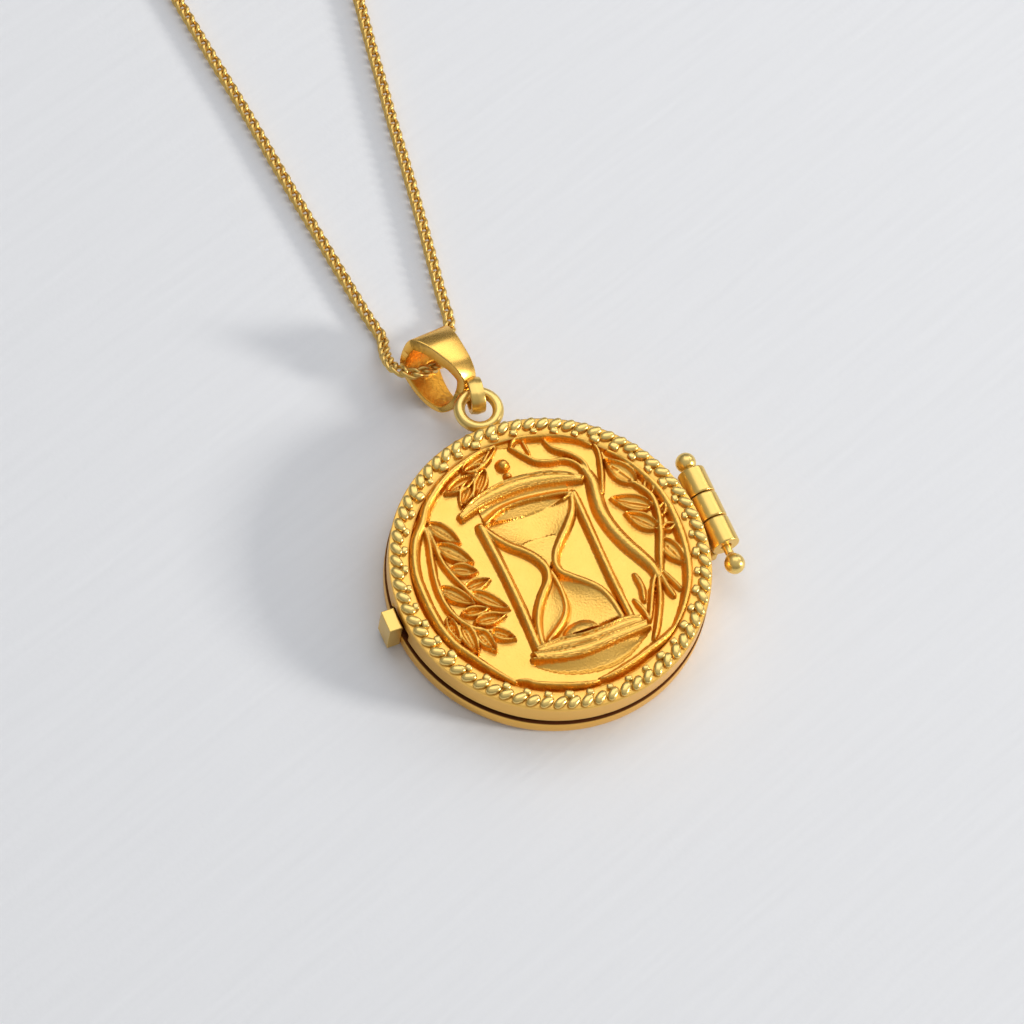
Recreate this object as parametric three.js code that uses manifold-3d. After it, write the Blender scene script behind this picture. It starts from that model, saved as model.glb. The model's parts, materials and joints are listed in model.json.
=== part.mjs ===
// A hinged round locket on a curb chain, lying on its back. Millimetres, +Z up.
// The origin is the centre of the locket's flat back, +X points to the hinge, +Y to the bail.
import * as THREE from 'three';
import { mergeVertices } from 'three/addons/utils/BufferGeometryUtils.js';
import Module from 'manifold-3d';

const wasm = await Module();
wasm.setup();

// ---- driving dimensions ----
const coverRadius = 11;
const backOverhang = 0.1;         // how far the back shell stands out past the cover
const wall = 0.55;                // both shells
const backHeight = 1.5;
const seamGap = 0.3;
const coverHeight = 1.75;
const reliefHeight = 0.4;
const solderGap = 0.05;           // room left at a soldered joint
const fitGap = 0.1;               // room round a piece that seats in another

const ropeWire = 0.46;            // half width of the twisted wire on the rim
const ropeRise = 0.24;            // half height of the same wire
const ropeTurns = 72;
const beadWire = 0.34;
const beadRise = 0.2;
const beadCount = 40;
const borderGap = 0.02;           // between the two wires, and under them

const hourglassWire = 0.4;        // width of its posts
const ridgeWidth = 0.4;
const ridgeInset = 0.5;           // from the beads
const trunkWidth = 0.6;
const branchWidth = 0.4;

const barrelRadius = 1.0;
const barrelEndLength = 2.0;
const barrelMiddleLength = 1.9;
const barrelGap = 0.08;
const barrelCentreY = 0.36;       // the three barrels sit a little towards the bail
const barrelWebThickness = 0.75;
const pinRadius = 0.3;
const pinClearance = 0.06;
const pinPlay = 0.7;
const ballRadius = 0.72;

const catchWidth = 1.6;
const catchDepth = 0.9;
const catchBottom = 0.35;
const catchTop = 2.9;
const nailNotchWidth = 2.3;
const nailNotchDepth = 0.3;
const nailNotchHeight = 0.75;

const ringLip = 0.7;              // width of the rings that hold the photographs
const ringThickness = 0.5;
const windowThickness = 0.2;

const loopOffset = 0.3;           // the loop sits this far to the hinge side
const loopRadius = 1.35;
const loopWire = 0.4;
const loopFootWidth = 1.5;
const loopFootDepth = 0.75;
const loopFootDrop = 0.9;         // how far down the back shell's wall it reaches
const loopRise = 0.6;             // its centre above the cover's lower edge

const eyeWall = 0.42;
const eyeClearance = 0.3;         // round the loop's wire
const eyeWidth = 1.0;
const eyeReach = 0.45;            // how much longer the eye is than a circle
const eyeSlide = 10;              // degrees round the loop, towards the hinge

const bailTip = [-1.5, -1.27, 0.2];  // across from the loop's centre, along from the eye's far side, and up
const bailLength = 5.2;
const bailDepth = 4.0;
const bailTopWidth = 3.6;
const bailTipWidth = 0.95;
const bailFrontWall = 0.85;
const bailBackWall = 0.45;
const bailLean = 13;              // degrees, in the plane the locket lies in
const bailRoll = 22;              // degrees, about its own length
const bailPitch = 6;              // degrees, its chain end raised

const chainDiameter = 0.9;
const coilInnerRadius = 3.45;
const coilOuterRadius = 9.0;
const coilHeight = 1.9;
const coilCentre = [1.6, 62];

const claspThickness = 1.8;
const claspRing = 2.2;            // outer radius of the hook
const claspRingWall = 0.8;
const claspLength = 9;
const claspTailRadius = 1.15;
const claspTailHole = 0.64;
const claspTailThickness = 0.6;
const claspNeckWidth = 1.7;
const claspCheekRadius = 0.75;    // the hook's end, where the lever turns
const claspRootRadius = 0.62;     // the lever's end
const claspThumbRadius = 0.45;
const claspLeafThickness = 0.12;
const claspPinRadius = 0.3;
const claspSlot = 0.9;            // slot that the lever works in
const claspLeverGap = 0.1;
const claspLeverReach = 2.3;      // from its pivot to its tip
const claspHome = [4.2, 73.6];    // its tail end
const claspTurn = 8;              // degrees
const jumpRingRadius = 1.05;
const jumpRingWire = 0.25;
const endRingHome = [6.6, 77.2];

// ---- sizes that follow ----
const backRadius = coverRadius + backOverhang;
const coverBottom = backHeight + seamGap;
const coverTop = coverBottom + coverHeight;
const hingeX = coverRadius + barrelRadius + fitGap;
const hingeZ = backHeight + barrelRadius;
const barrelStack = 2 * barrelEndLength + barrelMiddleLength + 2 * barrelGap;
const barrelTopY = barrelCentreY + barrelStack / 2;
const barrelLowY = barrelCentreY - barrelStack / 2;
const boreRadius = pinRadius + pinClearance;
const ropeRadius = coverRadius - ropeWire;
const beadRadius = ropeRadius - ropeWire - beadWire - borderGap;
const fieldRadius = beadRadius - beadWire;
const cavityRadius = coverRadius - wall;
const loopCentreY = backRadius + solderGap + loopRadius + loopWire;
const loopZ = coverBottom + loopRise;
const eyeInner = loopWire + eyeClearance;
const eyeOuter = eyeInner + eyeWall;
const chainZ = chainDiameter / 2;

// ---- solids ----
const shellSegments = 64;
const smallSegments = 24;

function toSolid(geometry) {
  const bare = geometry.clone();
  bare.deleteAttribute('normal');
  bare.deleteAttribute('uv');
  const merged = mergeVertices(bare, 1e-5);
  const position = merged.attributes.position.array;
  const index = merged.index.array;
  if (signedVolume(position, index) < 0) {
    for (let i = 0; i < index.length; i += 3) [index[i], index[i + 1]] = [index[i + 1], index[i]];
  }
  return new wasm.Manifold(new wasm.Mesh({
    numProp: 3,
    vertProperties: Float32Array.from(position),
    triVerts: Uint32Array.from(index),
  }));
}

function signedVolume(position, index) {
  const corner = (i) => new THREE.Vector3().fromArray(position, 3 * i);
  let total = 0;
  for (let i = 0; i < index.length; i += 3) {
    const [a, b, c] = [index[i], index[i + 1], index[i + 2]].map(corner);
    total += a.dot(b.cross(c));
  }
  return total / 6;
}

function toGeometry(solid) {
  const mesh = solid.getMesh();
  const geometry = new THREE.BufferGeometry();
  geometry.setAttribute('position', new THREE.BufferAttribute(mesh.vertProperties, 3));
  geometry.setIndex(new THREE.BufferAttribute(mesh.triVerts, 1));
  geometry.computeVertexNormals();
  return geometry;
}

// A solid of revolution about Z; the outline is a list of [radius, z].
function turned(outline, segments = shellSegments) {
  const points = outline.map(([r, z]) => new THREE.Vector2(r, z));
  return toSolid(new THREE.LatheGeometry(points, segments).rotateX(Math.PI / 2));
}

// The same, for a ring whose outline closes on itself.
function turnedRing(outline, segments = shellSegments) {
  return turned([...outline, outline[0]], segments);
}

function rod(radius, length, axis, segments = smallSegments) {
  const geometry = new THREE.CylinderGeometry(radius, radius, length, segments);
  if (axis === 'z') geometry.rotateX(Math.PI / 2);
  return toSolid(geometry);
}

// A plain disc that cuts back what would touch a round shell.
function shellCutter(radius, low, high) {
  return rod(radius, high - low, 'z', shellSegments).translate([0, 0, (low + high) / 2]);
}

function block(sizeX, sizeY, sizeZ, centre) {
  return toSolid(new THREE.BoxGeometry(sizeX, sizeY, sizeZ).translate(...centre));
}

function torus(radius, wire, sides = 10, segments = smallSegments) {
  return toSolid(new THREE.TorusGeometry(radius, wire, sides, segments));
}

// A flat shape raised along Z between two heights.
function raised(shape, bottom, top, curveSegments = 8) {
  const settings = { depth: top - bottom, bevelEnabled: false, curveSegments };
  return toSolid(new THREE.ExtrudeGeometry(shape, settings).translate(0, 0, bottom));
}

// A strip of one width along a curve of points, as a flat shape.
function strip(points, width, steps) {
  const curve = new THREE.SplineCurve(points.map(([x, y]) => new THREE.Vector2(x, y)));
  const left = [];
  const right = [];
  for (let i = 0; i <= steps; i += 1) {
    const at = curve.getPoint(i / steps);
    const along = curve.getTangent(i / steps);
    const side = new THREE.Vector2(-along.y, along.x).multiplyScalar(width / 2);
    left.push(at.clone().add(side));
    right.unshift(at.clone().sub(side));
  }
  return new THREE.Shape([...left, ...right]);
}

// A ring of wire round Z whose section swells and narrows, as twisted or beaded wire does.
function wavyRing(radius, z, halfWidth, halfHeight, count, narrow) {
  const sides = 6;
  const steps = 2 * count;
  const position = [];
  const index = [];
  for (let i = 0; i < steps; i += 1) {
    const angle = (i / steps) * 2 * Math.PI;
    const swell = i % 2 === 0 ? 1 : narrow;
    for (let k = 0; k < sides; k += 1) {
      const round = ((k + 0.5) / sides) * 2 * Math.PI;
      const r = radius + halfWidth * swell * Math.cos(round);
      const up = halfHeight * swell * Math.sin(round) - halfHeight * (1 - swell);
      position.push(r * Math.cos(angle), r * Math.sin(angle), z + Math.max(up, -halfHeight));
      const next = (k + 1) % sides;
      const row = ((i + 1) % steps) * sides;
      index.push(i * sides + k, row + k, row + next, i * sides + k, row + next, i * sides + next);
    }
  }
  const geometry = new THREE.BufferGeometry();
  geometry.setAttribute('position', new THREE.BufferAttribute(Float32Array.from(position), 3));
  geometry.setIndex(index);
  return toSolid(geometry);
}

// ---- the back shell and what is soldered to it ----
function backShell() {
  const edge = 0.55;              // radius of the rounded back edge
  const outline = [[0, 0], [backRadius - edge, 0]];
  for (let i = 1; i <= 4; i += 1) {
    const turn = (i / 4) * Math.PI / 2;
    outline.push([backRadius - edge + edge * Math.sin(turn), edge - edge * Math.cos(turn)]);
  }
  outline.push([backRadius, backHeight], [cavityRadius, backHeight], [cavityRadius, wall], [0, wall]);
  return turned(outline);
}

function hingeBarrel(fromY, toY, web) {
  const middle = (fromY + toY) / 2;
  const length = toY - fromY;
  const barrel = rod(barrelRadius, length, 'y').translate([hingeX, middle, hingeZ]);
  const bore = rod(boreRadius, length + 1, 'y').translate([hingeX, middle, hingeZ]);
  return barrel.add(web).subtract(bore);
}

// The outer barrels stand on a web that reaches in under the cover's edge to the back shell.
function backBarrel(fromY, toY) {
  const low = backHeight - barrelWebThickness;
  const high = coverBottom - fitGap;
  const reachIn = hingeX - 2 * barrelRadius;
  const web = block(hingeX - reachIn, toY - fromY, high - low,
    [(hingeX + reachIn) / 2, (fromY + toY) / 2, (high + low) / 2]);
  const shellSide = shellCutter(backRadius + solderGap, low - 1, high + 1);
  return hingeBarrel(fromY, toY, web.subtract(shellSide));
}

function coverBarrel(fromY, toY) {
  const low = coverBottom + fitGap;
  const high = coverBottom + barrelWebThickness + fitGap;
  const reachIn = hingeX - 2 * barrelRadius;
  const web = block(hingeX - reachIn, toY - fromY, high - low,
    [(hingeX + reachIn) / 2, (fromY + toY) / 2, (high + low) / 2]);
  const coverSide = shellCutter(coverRadius + solderGap, low - 1, high + 1);
  return hingeBarrel(fromY, toY, web.subtract(coverSide));
}

function hingePin() {
  const length = barrelStack + pinPlay - 2 * solderGap;
  const middle = barrelTopY + fitGap / 2 - length / 2 - solderGap;
  return rod(pinRadius, length, 'y', 16).translate([hingeX, middle, hingeZ]);
}

function pinBall(side) {
  const top = barrelTopY + fitGap / 2 + ballRadius;
  const low = barrelTopY + fitGap / 2 - barrelStack - pinPlay - ballRadius;
  const ball = toSolid(new THREE.SphereGeometry(ballRadius, 16, 10));
  return ball.translate([hingeX, side > 0 ? top : low, hingeZ]);
}

function catchBlock() {
  const inner = backRadius + solderGap;
  const height = catchTop - catchBottom;
  const body = block(catchDepth + 1, catchWidth, height,
    [-(inner + catchDepth) + (catchDepth + 1) / 2, 0, catchBottom + height / 2]);
  return body.subtract(shellCutter(inner, catchBottom - 1, catchTop + 1));
}

function pendantLoop() {
  const ring = torus(loopRadius, loopWire).translate([loopOffset, loopCentreY, loopZ]);
  const bottom = backHeight - loopFootDrop;
  const inner = backRadius + solderGap;
  const foot = block(loopFootWidth, 2 * loopFootDepth, loopZ - bottom,
    [loopOffset, inner, (loopZ + bottom) / 2]);
  return ring.add(foot.subtract(shellCutter(inner, bottom - 1, coverTop)));
}

// ---- the cover ----
function coverShell() {
  const outline = [
    [0, coverTop - wall], [cavityRadius, coverTop - wall], [cavityRadius, coverBottom],
    [coverRadius, coverBottom], [coverRadius, coverTop], [0, coverTop],
  ];
  const notch = block(2 * nailNotchDepth, nailNotchWidth, 2 * nailNotchHeight, [-coverRadius, 0, coverBottom]);
  return turned(outline).subtract(notch);
}

// The relief is drawn on a field of radius 1.
function onField(points) {
  return points.map(([x, y]) => [x * fieldRadius, y * fieldRadius]);
}

function hourglassSolid(bottom, top) {
  const halfHeight = 0.58 * fieldRadius;
  const postX = 0.37 * fieldRadius;
  const [capX, capY] = [0.47 * fieldRadius, 0.07 * fieldRadius];
  const cap = new THREE.Shape().absellipse(0, 0, capX, capY, 0, 2 * Math.PI, false, 0);
  const pieces = [-1, 1].map((side) => raised(cap, bottom, top, 6).translate([0, side * halfHeight, 0]));
  for (const side of [-1, 1]) {
    const bulb = onField([[0.35, 0.42], [0.2, 0.2], [0.03, -0.03], [0.2, -0.26], [0.31, -0.6]]
      .map(([x, y]) => [side * x, y]));
    pieces.push(block(hourglassWire, 2 * halfHeight, top - bottom, [side * postX, 0, (top + bottom) / 2]));
    pieces.push(raised(strip(bulb, hourglassWire, 8), bottom, top));
  }
  return pieces.reduce((all, piece) => all.add(piece));
}

function reliefSolid() {
  const bottom = coverTop - wall / 2;
  const top = coverTop + reliefHeight;
  const ridgeOuter = fieldRadius - ridgeInset;
  const ridge = turnedRing([[ridgeOuter - ridgeWidth, bottom], [ridgeOuter, bottom],
    [ridgeOuter, top], [ridgeOuter - ridgeWidth, top]], 40);
  const trunk = onField([[0.1, 0.93], [0.3, 0.75], [0.48, 0.66], [0.54, 0.49], [0.5, 0.26], [0.53, 0.1],
    [0.63, -0.17], [0.68, -0.37], [0.6, -0.6], [0.46, -0.82]]);
  const branch = onField([[0.81, 0.39], [0.91, 0.25], [0.9, 0.11], [0.84, -0.06], [0.7, -0.36]]);
  const laurel = onField([[-0.76, 0.6], [-0.81, 0.31], [-0.85, 0.02], [-0.79, -0.22], [-0.62, -0.36]]);
  return ridge.add(hourglassSolid(bottom, top))
    .add(raised(strip(trunk, trunkWidth, 10), bottom, top))
    .add(raised(strip(branch, branchWidth, 5), bottom, top))
    .add(raised(strip(laurel, branchWidth, 7), bottom, top));
}

function frontCover() {
  return coverShell().add(reliefSolid());
}

function ropeBorder() {
  const z = coverTop + ropeRise + borderGap;
  return wavyRing(ropeRadius, z, ropeWire, ropeRise, ropeTurns, 0.72);
}

function beadBorder() {
  const z = coverTop + beadRise + borderGap;
  return wavyRing(beadRadius, z, beadWire, beadRise, beadCount, 0.5);
}

// ---- what holds the two photographs ----
function photoRing(bottom) {
  const outer = cavityRadius - fitGap;
  return turnedRing([[outer - ringLip, bottom], [outer, bottom],
    [outer, bottom + ringThickness], [outer - ringLip, bottom + ringThickness]]);
}

function photoWindow(bottom) {
  return rod(cavityRadius - 2 * fitGap - ringLip, windowThickness, 'z', 48)
    .translate([0, 0, bottom + windowThickness / 2]);
}

// ---- the bail and its eye ----
function bailOutline(inset) {
  // [along, through] as shares of the length and depth, from the tip round by the front
  const shape = [[0.37, 0.96], [0.5, 1.0], [0.8, 0.98], [0.98, 0.83], [0.98, 0.5],
    [0.87, 0.18], [0.6, 0.02], [0.28, 0.0], [0.07, 0.1], [0.0, 0.28], [0.19, 0.62]];
  const curve = new THREE.CatmullRomCurve3(
    shape.map(([a, t]) => new THREE.Vector3(a * bailLength, t * bailDepth, 0)), true);
  const steps = 32;
  const line = [];
  for (let i = 0; i < steps; i += 1) {
    const at = curve.getPoint(i / steps);
    const along = curve.getTangent(i / steps);
    const share = at.y / bailDepth;
    const thick = bailBackWall + (bailFrontWall - bailBackWall) * share;
    const inward = new THREE.Vector3(along.y, -along.x, 0).multiplyScalar(inset * thick);
    line.push(at.clone().add(inward));
  }
  return line;
}

// Where a point of the bail lies: across, along and through, from the tip of its back.
function bailPlace() {
  const turn = Math.PI / 180;
  const tipY = loopCentreY + loopRadius + eyeOuter + bailTip[1];
  return new THREE.Matrix4().makeTranslation(loopOffset + bailTip[0], tipY, bailTip[2])
    .multiply(new THREE.Matrix4().makeRotationZ(bailLean * turn))
    .multiply(new THREE.Matrix4().makeRotationX(bailPitch * turn))
    .multiply(new THREE.Matrix4().makeRotationY(bailRoll * turn));
}

function bail() {
  const outer = bailOutline(0);
  const inner = bailOutline(1);
  const steps = outer.length;
  const position = [];
  const index = [];
  for (let i = 0; i < steps; i += 1) {
    const share = Math.max(outer[i].x / bailLength, 0);
    const half = (bailTipWidth + (bailTopWidth - bailTipWidth) * share ** 1.15) / 2;
    for (const [point, side] of [[outer[i], -1], [outer[i], 1], [inner[i], 1], [inner[i], -1]]) {
      position.push(side * half, point.x, point.y);
    }
    const row = 4 * i;
    const next = 4 * ((i + 1) % steps);
    for (let k = 0; k < 4; k += 1) {
      const other = (k + 1) % 4;
      index.push(row + k, next + k, next + other, row + k, next + other, row + other);
    }
  }
  const geometry = new THREE.BufferGeometry();
  geometry.setAttribute('position', new THREE.BufferAttribute(Float32Array.from(position), 3));
  geometry.setIndex(index);
  return toSolid(geometry.applyMatrix4(bailPlace()));
}

// A flat band bent round the loop's wire, longer towards the locket.
function bailEye() {
  const shape = new THREE.Shape();
  shape.absarc(0, 0, eyeOuter, 0, Math.PI, false);
  shape.absarc(0, -eyeReach, eyeOuter, Math.PI, 2 * Math.PI, false);
  const hole = new THREE.Path();
  hole.absarc(0, 0, eyeInner, 0, Math.PI, false);
  hole.absarc(0, -eyeReach, eyeInner, Math.PI, 2 * Math.PI, false);
  shape.holes.push(hole);
  const band = new THREE.ExtrudeGeometry(shape, { depth: eyeWidth, bevelEnabled: false, curveSegments: 12 });
  band.translate(0, 0, -eyeWidth / 2).rotateY(Math.PI / 2).translate(0, loopRadius, 0);
  band.rotateZ(-eyeSlide * Math.PI / 180).translate(loopOffset, loopCentreY, loopZ);
  return toSolid(band);
}

// ---- the chain ----
function tube(points, step) {
  const curve = new THREE.CatmullRomCurve3(points.map((p) => new THREE.Vector3(...p)), false, 'centripetal');
  const section = new THREE.Shape();
  const sides = 8;
  for (let k = 0; k < sides; k += 1) {
    const angle = ((k + 0.5) / sides) * 2 * Math.PI;
    const r = chainDiameter / 2;
    if (k === 0) section.moveTo(r * Math.cos(angle), r * Math.sin(angle));
    else section.lineTo(r * Math.cos(angle), r * Math.sin(angle));
  }
  const steps = Math.round(curve.getLength() / (step * chainDiameter));
  return toSolid(new THREE.ExtrudeGeometry(section, { steps, extrudePath: curve }));
}

const chainRoutes = {
  chain_left_run: [[-3.3, 21.6, chainZ], [-3.6, 23.4, chainZ], [-3.94, 26.5, chainZ],
    [-4.3, 30, chainZ], [-4.67, 33.6, chainZ], [-5.01, 37.2, chainZ], [-5.32, 40.8, chainZ],
    [-5.73, 44.5, chainZ], [-6.15, 48.2, chainZ], [-6.53, 52, chainZ],
    [-6.8, 55, chainZ], [-6.88, 57.2, chainZ]],
  chain_in_bail: [[-3.26, 21.3, chainZ], [-3.6, 20.2, 0.9], [-3.92, 19.0, 1.7], [-3.85, 17.8, 2.4],
    [-2.9, 16.95, 2.6], [-1.3, 17.1, 2.25], [-0.1, 17.7, 1.8], [0.65, 18.6, 1.45], [1.15, 19.6, 0.95],
    [1.5, 20.5, 0.55], [1.75, 21.2, chainZ]],
  chain_right_run: [[1.8, 21.5, chainZ], [1.93, 22.7, chainZ], [2.2, 24.4, chainZ], [2.72, 27.5, chainZ],
    [3.25, 30.8, chainZ], [3.74, 34.1, chainZ], [4.21, 37.5, chainZ], [4.75, 40.9, chainZ],
    [5.27, 44.3, chainZ], [5.85, 47.7, chainZ], [6.08, 49.5, chainZ], [6.0, 51.2, chainZ],
    [5.3, 52.4, chainZ]],
  chain_clasp_end: [[0.38, 71.6, chainZ], [1.0, 72.4, 0.5], [1.6, 73.12, 0.6]],
  chain_ring_end: [[-1.1, 71.3, chainZ], [0, 72.7, chainZ], [1.2, 74.4, chainZ], [2.8, 75.9, chainZ],
    [4.6, 76.9, chainZ]],
};

function chainCoil() {
  const [x, y] = coilCentre;
  const soft = 0.5;
  return turnedRing([[coilInnerRadius, soft], [coilInnerRadius + soft, 0], [coilOuterRadius - soft, 0],
    [coilOuterRadius, soft], [coilOuterRadius, coilHeight - soft], [coilOuterRadius - soft, coilHeight],
    [coilInnerRadius + soft, coilHeight], [coilInnerRadius, coilHeight - soft]], 40).translate([x, y, 0]);
}

// ---- the clasp ----
// It is drawn lying along +X with its tail's eye at the origin, then turned and moved to its home.
const hookX = claspLength - claspTailRadius - claspRing;
const hookInner = claspRing - claspRingWall;
const leverTo = 112;              // degrees round the hook, where the lever's pivot is
const hookEnd = 20;               // past where its tip is cut to the lever's swing
const pivotRadius = claspRing - claspRingWall / 2;

function atHook(degrees, radius) {
  const angle = degrees * Math.PI / 180;
  return [hookX + radius * Math.cos(angle), radius * Math.sin(angle)];
}

function hookArc(fromDegrees, toDegrees, inner, outer) {
  const shape = new THREE.Shape();
  const [from, to] = [fromDegrees * Math.PI / 180, toDegrees * Math.PI / 180];
  shape.absarc(hookX, 0, outer, from, to, false);
  shape.absarc(hookX, 0, inner, to, from, true);
  return shape;
}

function placeClasp(solid) {
  return solid.rotate([0, 0, claspTurn]).translate([claspHome[0], claspHome[1], claspThickness / 2]);
}

const [pivotX, pivotY] = atHook(leverTo, pivotRadius);

function atPivot(solid) {
  return solid.translate([pivotX, pivotY, 0]);
}

function claspBody() {
  const half = claspThickness / 2;
  const hook = raised(hookArc(leverTo + 8, 360 + 2 * hookEnd, hookInner, claspRing), -half, half, 18);
  const tipSide = block(2 * claspRing, 2 * claspRing, 3 * claspThickness, [hookX + claspRing, claspRing, 0]);
  const swing = atPivot(rod(claspLeverReach + claspLeverGap, 2 * claspThickness, 'z', 48)).intersect(tipSide);
  const neckFrom = claspTailRadius - 0.2;
  const neckTo = hookX - hookInner;
  const neck = block(neckTo - neckFrom, claspNeckWidth, claspThickness, [(neckFrom + neckTo) / 2, 0, 0]);
  const tail = rod(claspTailRadius, claspTailThickness, 'z', 20);
  const slotLength = 2 * (claspCheekRadius + claspRootRadius);
  const slot = block(slotLength, 3 * claspRingWall, claspSlot, [claspCheekRadius - claspLeverGap - 0.2, 0, 0]);
  return hook.subtract(swing).add(neck).add(tail)
    .add(atPivot(rod(claspCheekRadius, claspThickness, 'z', 16)))
    .subtract(atPivot(slot))
    .subtract(atPivot(rod(claspPinRadius + claspLeverGap / 3, 2 * claspThickness, 'z', 12)))
    .subtract(rod(claspTailHole, 2 * claspThickness, 'z', 16));
}

function claspLever() {
  const half = claspSlot / 2 - claspLeverGap;
  const arc = raised(hookArc(hookEnd, leverTo, hookInner, claspRing), -half, half, 12)
    .intersect(atPivot(rod(claspLeverReach, 2 * claspThickness, 'z', 48)));
  const thumb = rod(claspThumbRadius, 2 * half, 'z', 12)
    .translate([...atHook(leverTo - 22, claspRing + claspThumbRadius / 2), 0]);
  return arc.add(thumb)
    .add(atPivot(rod(claspRootRadius, 2 * half, 'z', 16)))
    .subtract(atPivot(rod(claspPinRadius + claspLeverGap / 2, 2 * claspThickness, 'z', 12)));
}

function claspPin() {
  return atPivot(rod(claspPinRadius, claspThickness, 'z', 12));
}

// A leaf that lies in the slot behind the lever's root and pushes it shut.
function claspSpring() {
  const leaf = [[-0.85, 0.45], [-0.8, 0], [-0.62, -0.55]];
  const half = claspSlot / 2 - 2 * claspLeverGap;
  return atPivot(raised(strip(leaf, claspLeafThickness, 5), -half, half));
}

// The ring stands on edge through the tail's hole.
function jumpRing() {
  const height = jumpRingRadius + jumpRingWire;
  const hang = height - claspThickness / 2;
  const reach = jumpRingRadius - hang ** 2 / (2 * jumpRingRadius);
  const standing = torus(jumpRingRadius, jumpRingWire, 8, 20).rotate([90, 0, 0]);
  return placeClasp(standing.translate([-(reach + jumpRingRadius) / 2, 0, hang]));
}

function endRing() {
  return torus(jumpRingRadius, jumpRingWire, 8, 20).translate([...endRingHome, jumpRingWire]);
}

// ---- materials ----
function gold(color, roughness) {
  return new THREE.MeshStandardMaterial({ color, roughness, metalness: 1 });
}

const satinGold = () => gold(0xe8a820, 0.38);
const polishedGold = () => gold(0xf0b838, 0.18);
const chainGold = () => gold(0xdc9a24, 0.3);
const springSteel = () => new THREE.MeshStandardMaterial({ color: 0x9a9a9a, roughness: 0.3, metalness: 1 });
const acetate = () => new THREE.MeshStandardMaterial({ color: 0xf2f4f4, roughness: 0.1, metalness: 0 });

// ---- the necklace ----
const necklace = new THREE.Group();

function place(name, solid, material) {
  const mesh = new THREE.Mesh(toGeometry(solid), material);
  mesh.name = name;
  necklace.add(mesh);
}

const lowBarrelTop = barrelLowY + barrelEndLength;
const highBarrelLow = barrelTopY - barrelEndLength;

place('back_shell', backShell(), satinGold());
place('front_cover', frontCover(), satinGold());
place('rope_border', ropeBorder(), polishedGold());
place('bead_border', beadBorder(), polishedGold());
place('hinge_barrel_upper', backBarrel(highBarrelLow, barrelTopY), satinGold());
place('hinge_barrel_lower', backBarrel(barrelLowY, lowBarrelTop), satinGold());
place('hinge_barrel_cover', coverBarrel(lowBarrelTop + barrelGap, highBarrelLow - barrelGap), satinGold());
place('hinge_pin', hingePin(), polishedGold());
place('pin_ball_upper', pinBall(1), polishedGold());
place('pin_ball_lower', pinBall(-1), polishedGold());
place('catch_block', catchBlock(), satinGold());
place('pendant_loop', pendantLoop(), polishedGold());
place('photo_ring_back', photoRing(wall + fitGap), satinGold());
place('photo_window_back', photoWindow(wall + fitGap), acetate());
place('photo_ring_front', photoRing(coverTop - wall - fitGap - ringThickness), satinGold());
place('photo_window_front', photoWindow(coverTop - wall - fitGap - windowThickness), acetate());
place('bail', bail(), satinGold());
place('bail_eye', bailEye(), satinGold());
for (const [name, route] of Object.entries(chainRoutes)) {
  const step = name === 'chain_in_bail' ? 1 : 2.5;    // diameters
  place(name, tube(route, step), chainGold());
}
place('chain_coil', chainCoil(), chainGold());
place('clasp_body', placeClasp(claspBody()), polishedGold());
place('clasp_lever', placeClasp(claspLever()), polishedGold());
place('clasp_pin', placeClasp(claspPin()), polishedGold());
place('clasp_spring', placeClasp(claspSpring()), springSteel());
place('clasp_jump_ring', jumpRing(), polishedGold());
place('chain_end_ring', endRing(), polishedGold());

export default necklace;
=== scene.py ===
"""Looks of a hinged round photo locket on a curb chain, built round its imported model.

Places and sizes are worked out in millimetres and become metres when a mesh is made.
"""

import json
import math

import bmesh
import bpy
import numpy as np
from bpy.props import FloatProperty, FloatVectorProperty, IntProperty, PointerProperty
from mathutils import Matrix, Vector


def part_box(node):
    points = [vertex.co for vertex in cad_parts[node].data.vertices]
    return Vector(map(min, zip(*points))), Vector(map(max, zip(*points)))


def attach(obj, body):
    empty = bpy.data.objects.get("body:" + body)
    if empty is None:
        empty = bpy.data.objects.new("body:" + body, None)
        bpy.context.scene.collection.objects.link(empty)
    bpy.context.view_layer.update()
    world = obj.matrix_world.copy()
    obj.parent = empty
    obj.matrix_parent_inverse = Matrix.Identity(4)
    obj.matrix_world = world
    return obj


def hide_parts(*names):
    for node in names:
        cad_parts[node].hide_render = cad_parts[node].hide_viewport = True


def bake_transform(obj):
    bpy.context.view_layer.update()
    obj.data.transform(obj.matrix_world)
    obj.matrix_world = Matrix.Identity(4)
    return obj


bl_info = {
    "name": "Photo locket necklace",
    "version": (1, 0, 0),
    "blender": (4, 5, 0),
    "location": "3D View > Sidebar > Locket",
    "description": "Builds a hinged photo locket on a curb chain, and its studio",
    "category": "Object",
}

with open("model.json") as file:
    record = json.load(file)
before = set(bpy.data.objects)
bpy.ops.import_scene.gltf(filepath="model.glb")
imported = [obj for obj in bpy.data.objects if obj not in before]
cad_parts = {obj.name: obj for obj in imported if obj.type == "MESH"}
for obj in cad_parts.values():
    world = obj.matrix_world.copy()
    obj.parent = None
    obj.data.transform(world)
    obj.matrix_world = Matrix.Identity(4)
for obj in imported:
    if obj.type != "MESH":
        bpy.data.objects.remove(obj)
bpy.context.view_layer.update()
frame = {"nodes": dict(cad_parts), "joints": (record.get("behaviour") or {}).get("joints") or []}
MM = 0.001


def corners(node):
    """The lowest and highest corners of a CAD node, in millimetres."""
    low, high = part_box(node)
    return np.array(low) / MM, np.array(high) / MM


def joint(name):
    """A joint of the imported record, with its place in millimetres."""
    found = next(j for j in frame["joints"] if j["name"] == name)
    return np.array(found.get("pos_m", (0, 0, 0))) / MM, np.array(found["axis"], float)


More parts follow.
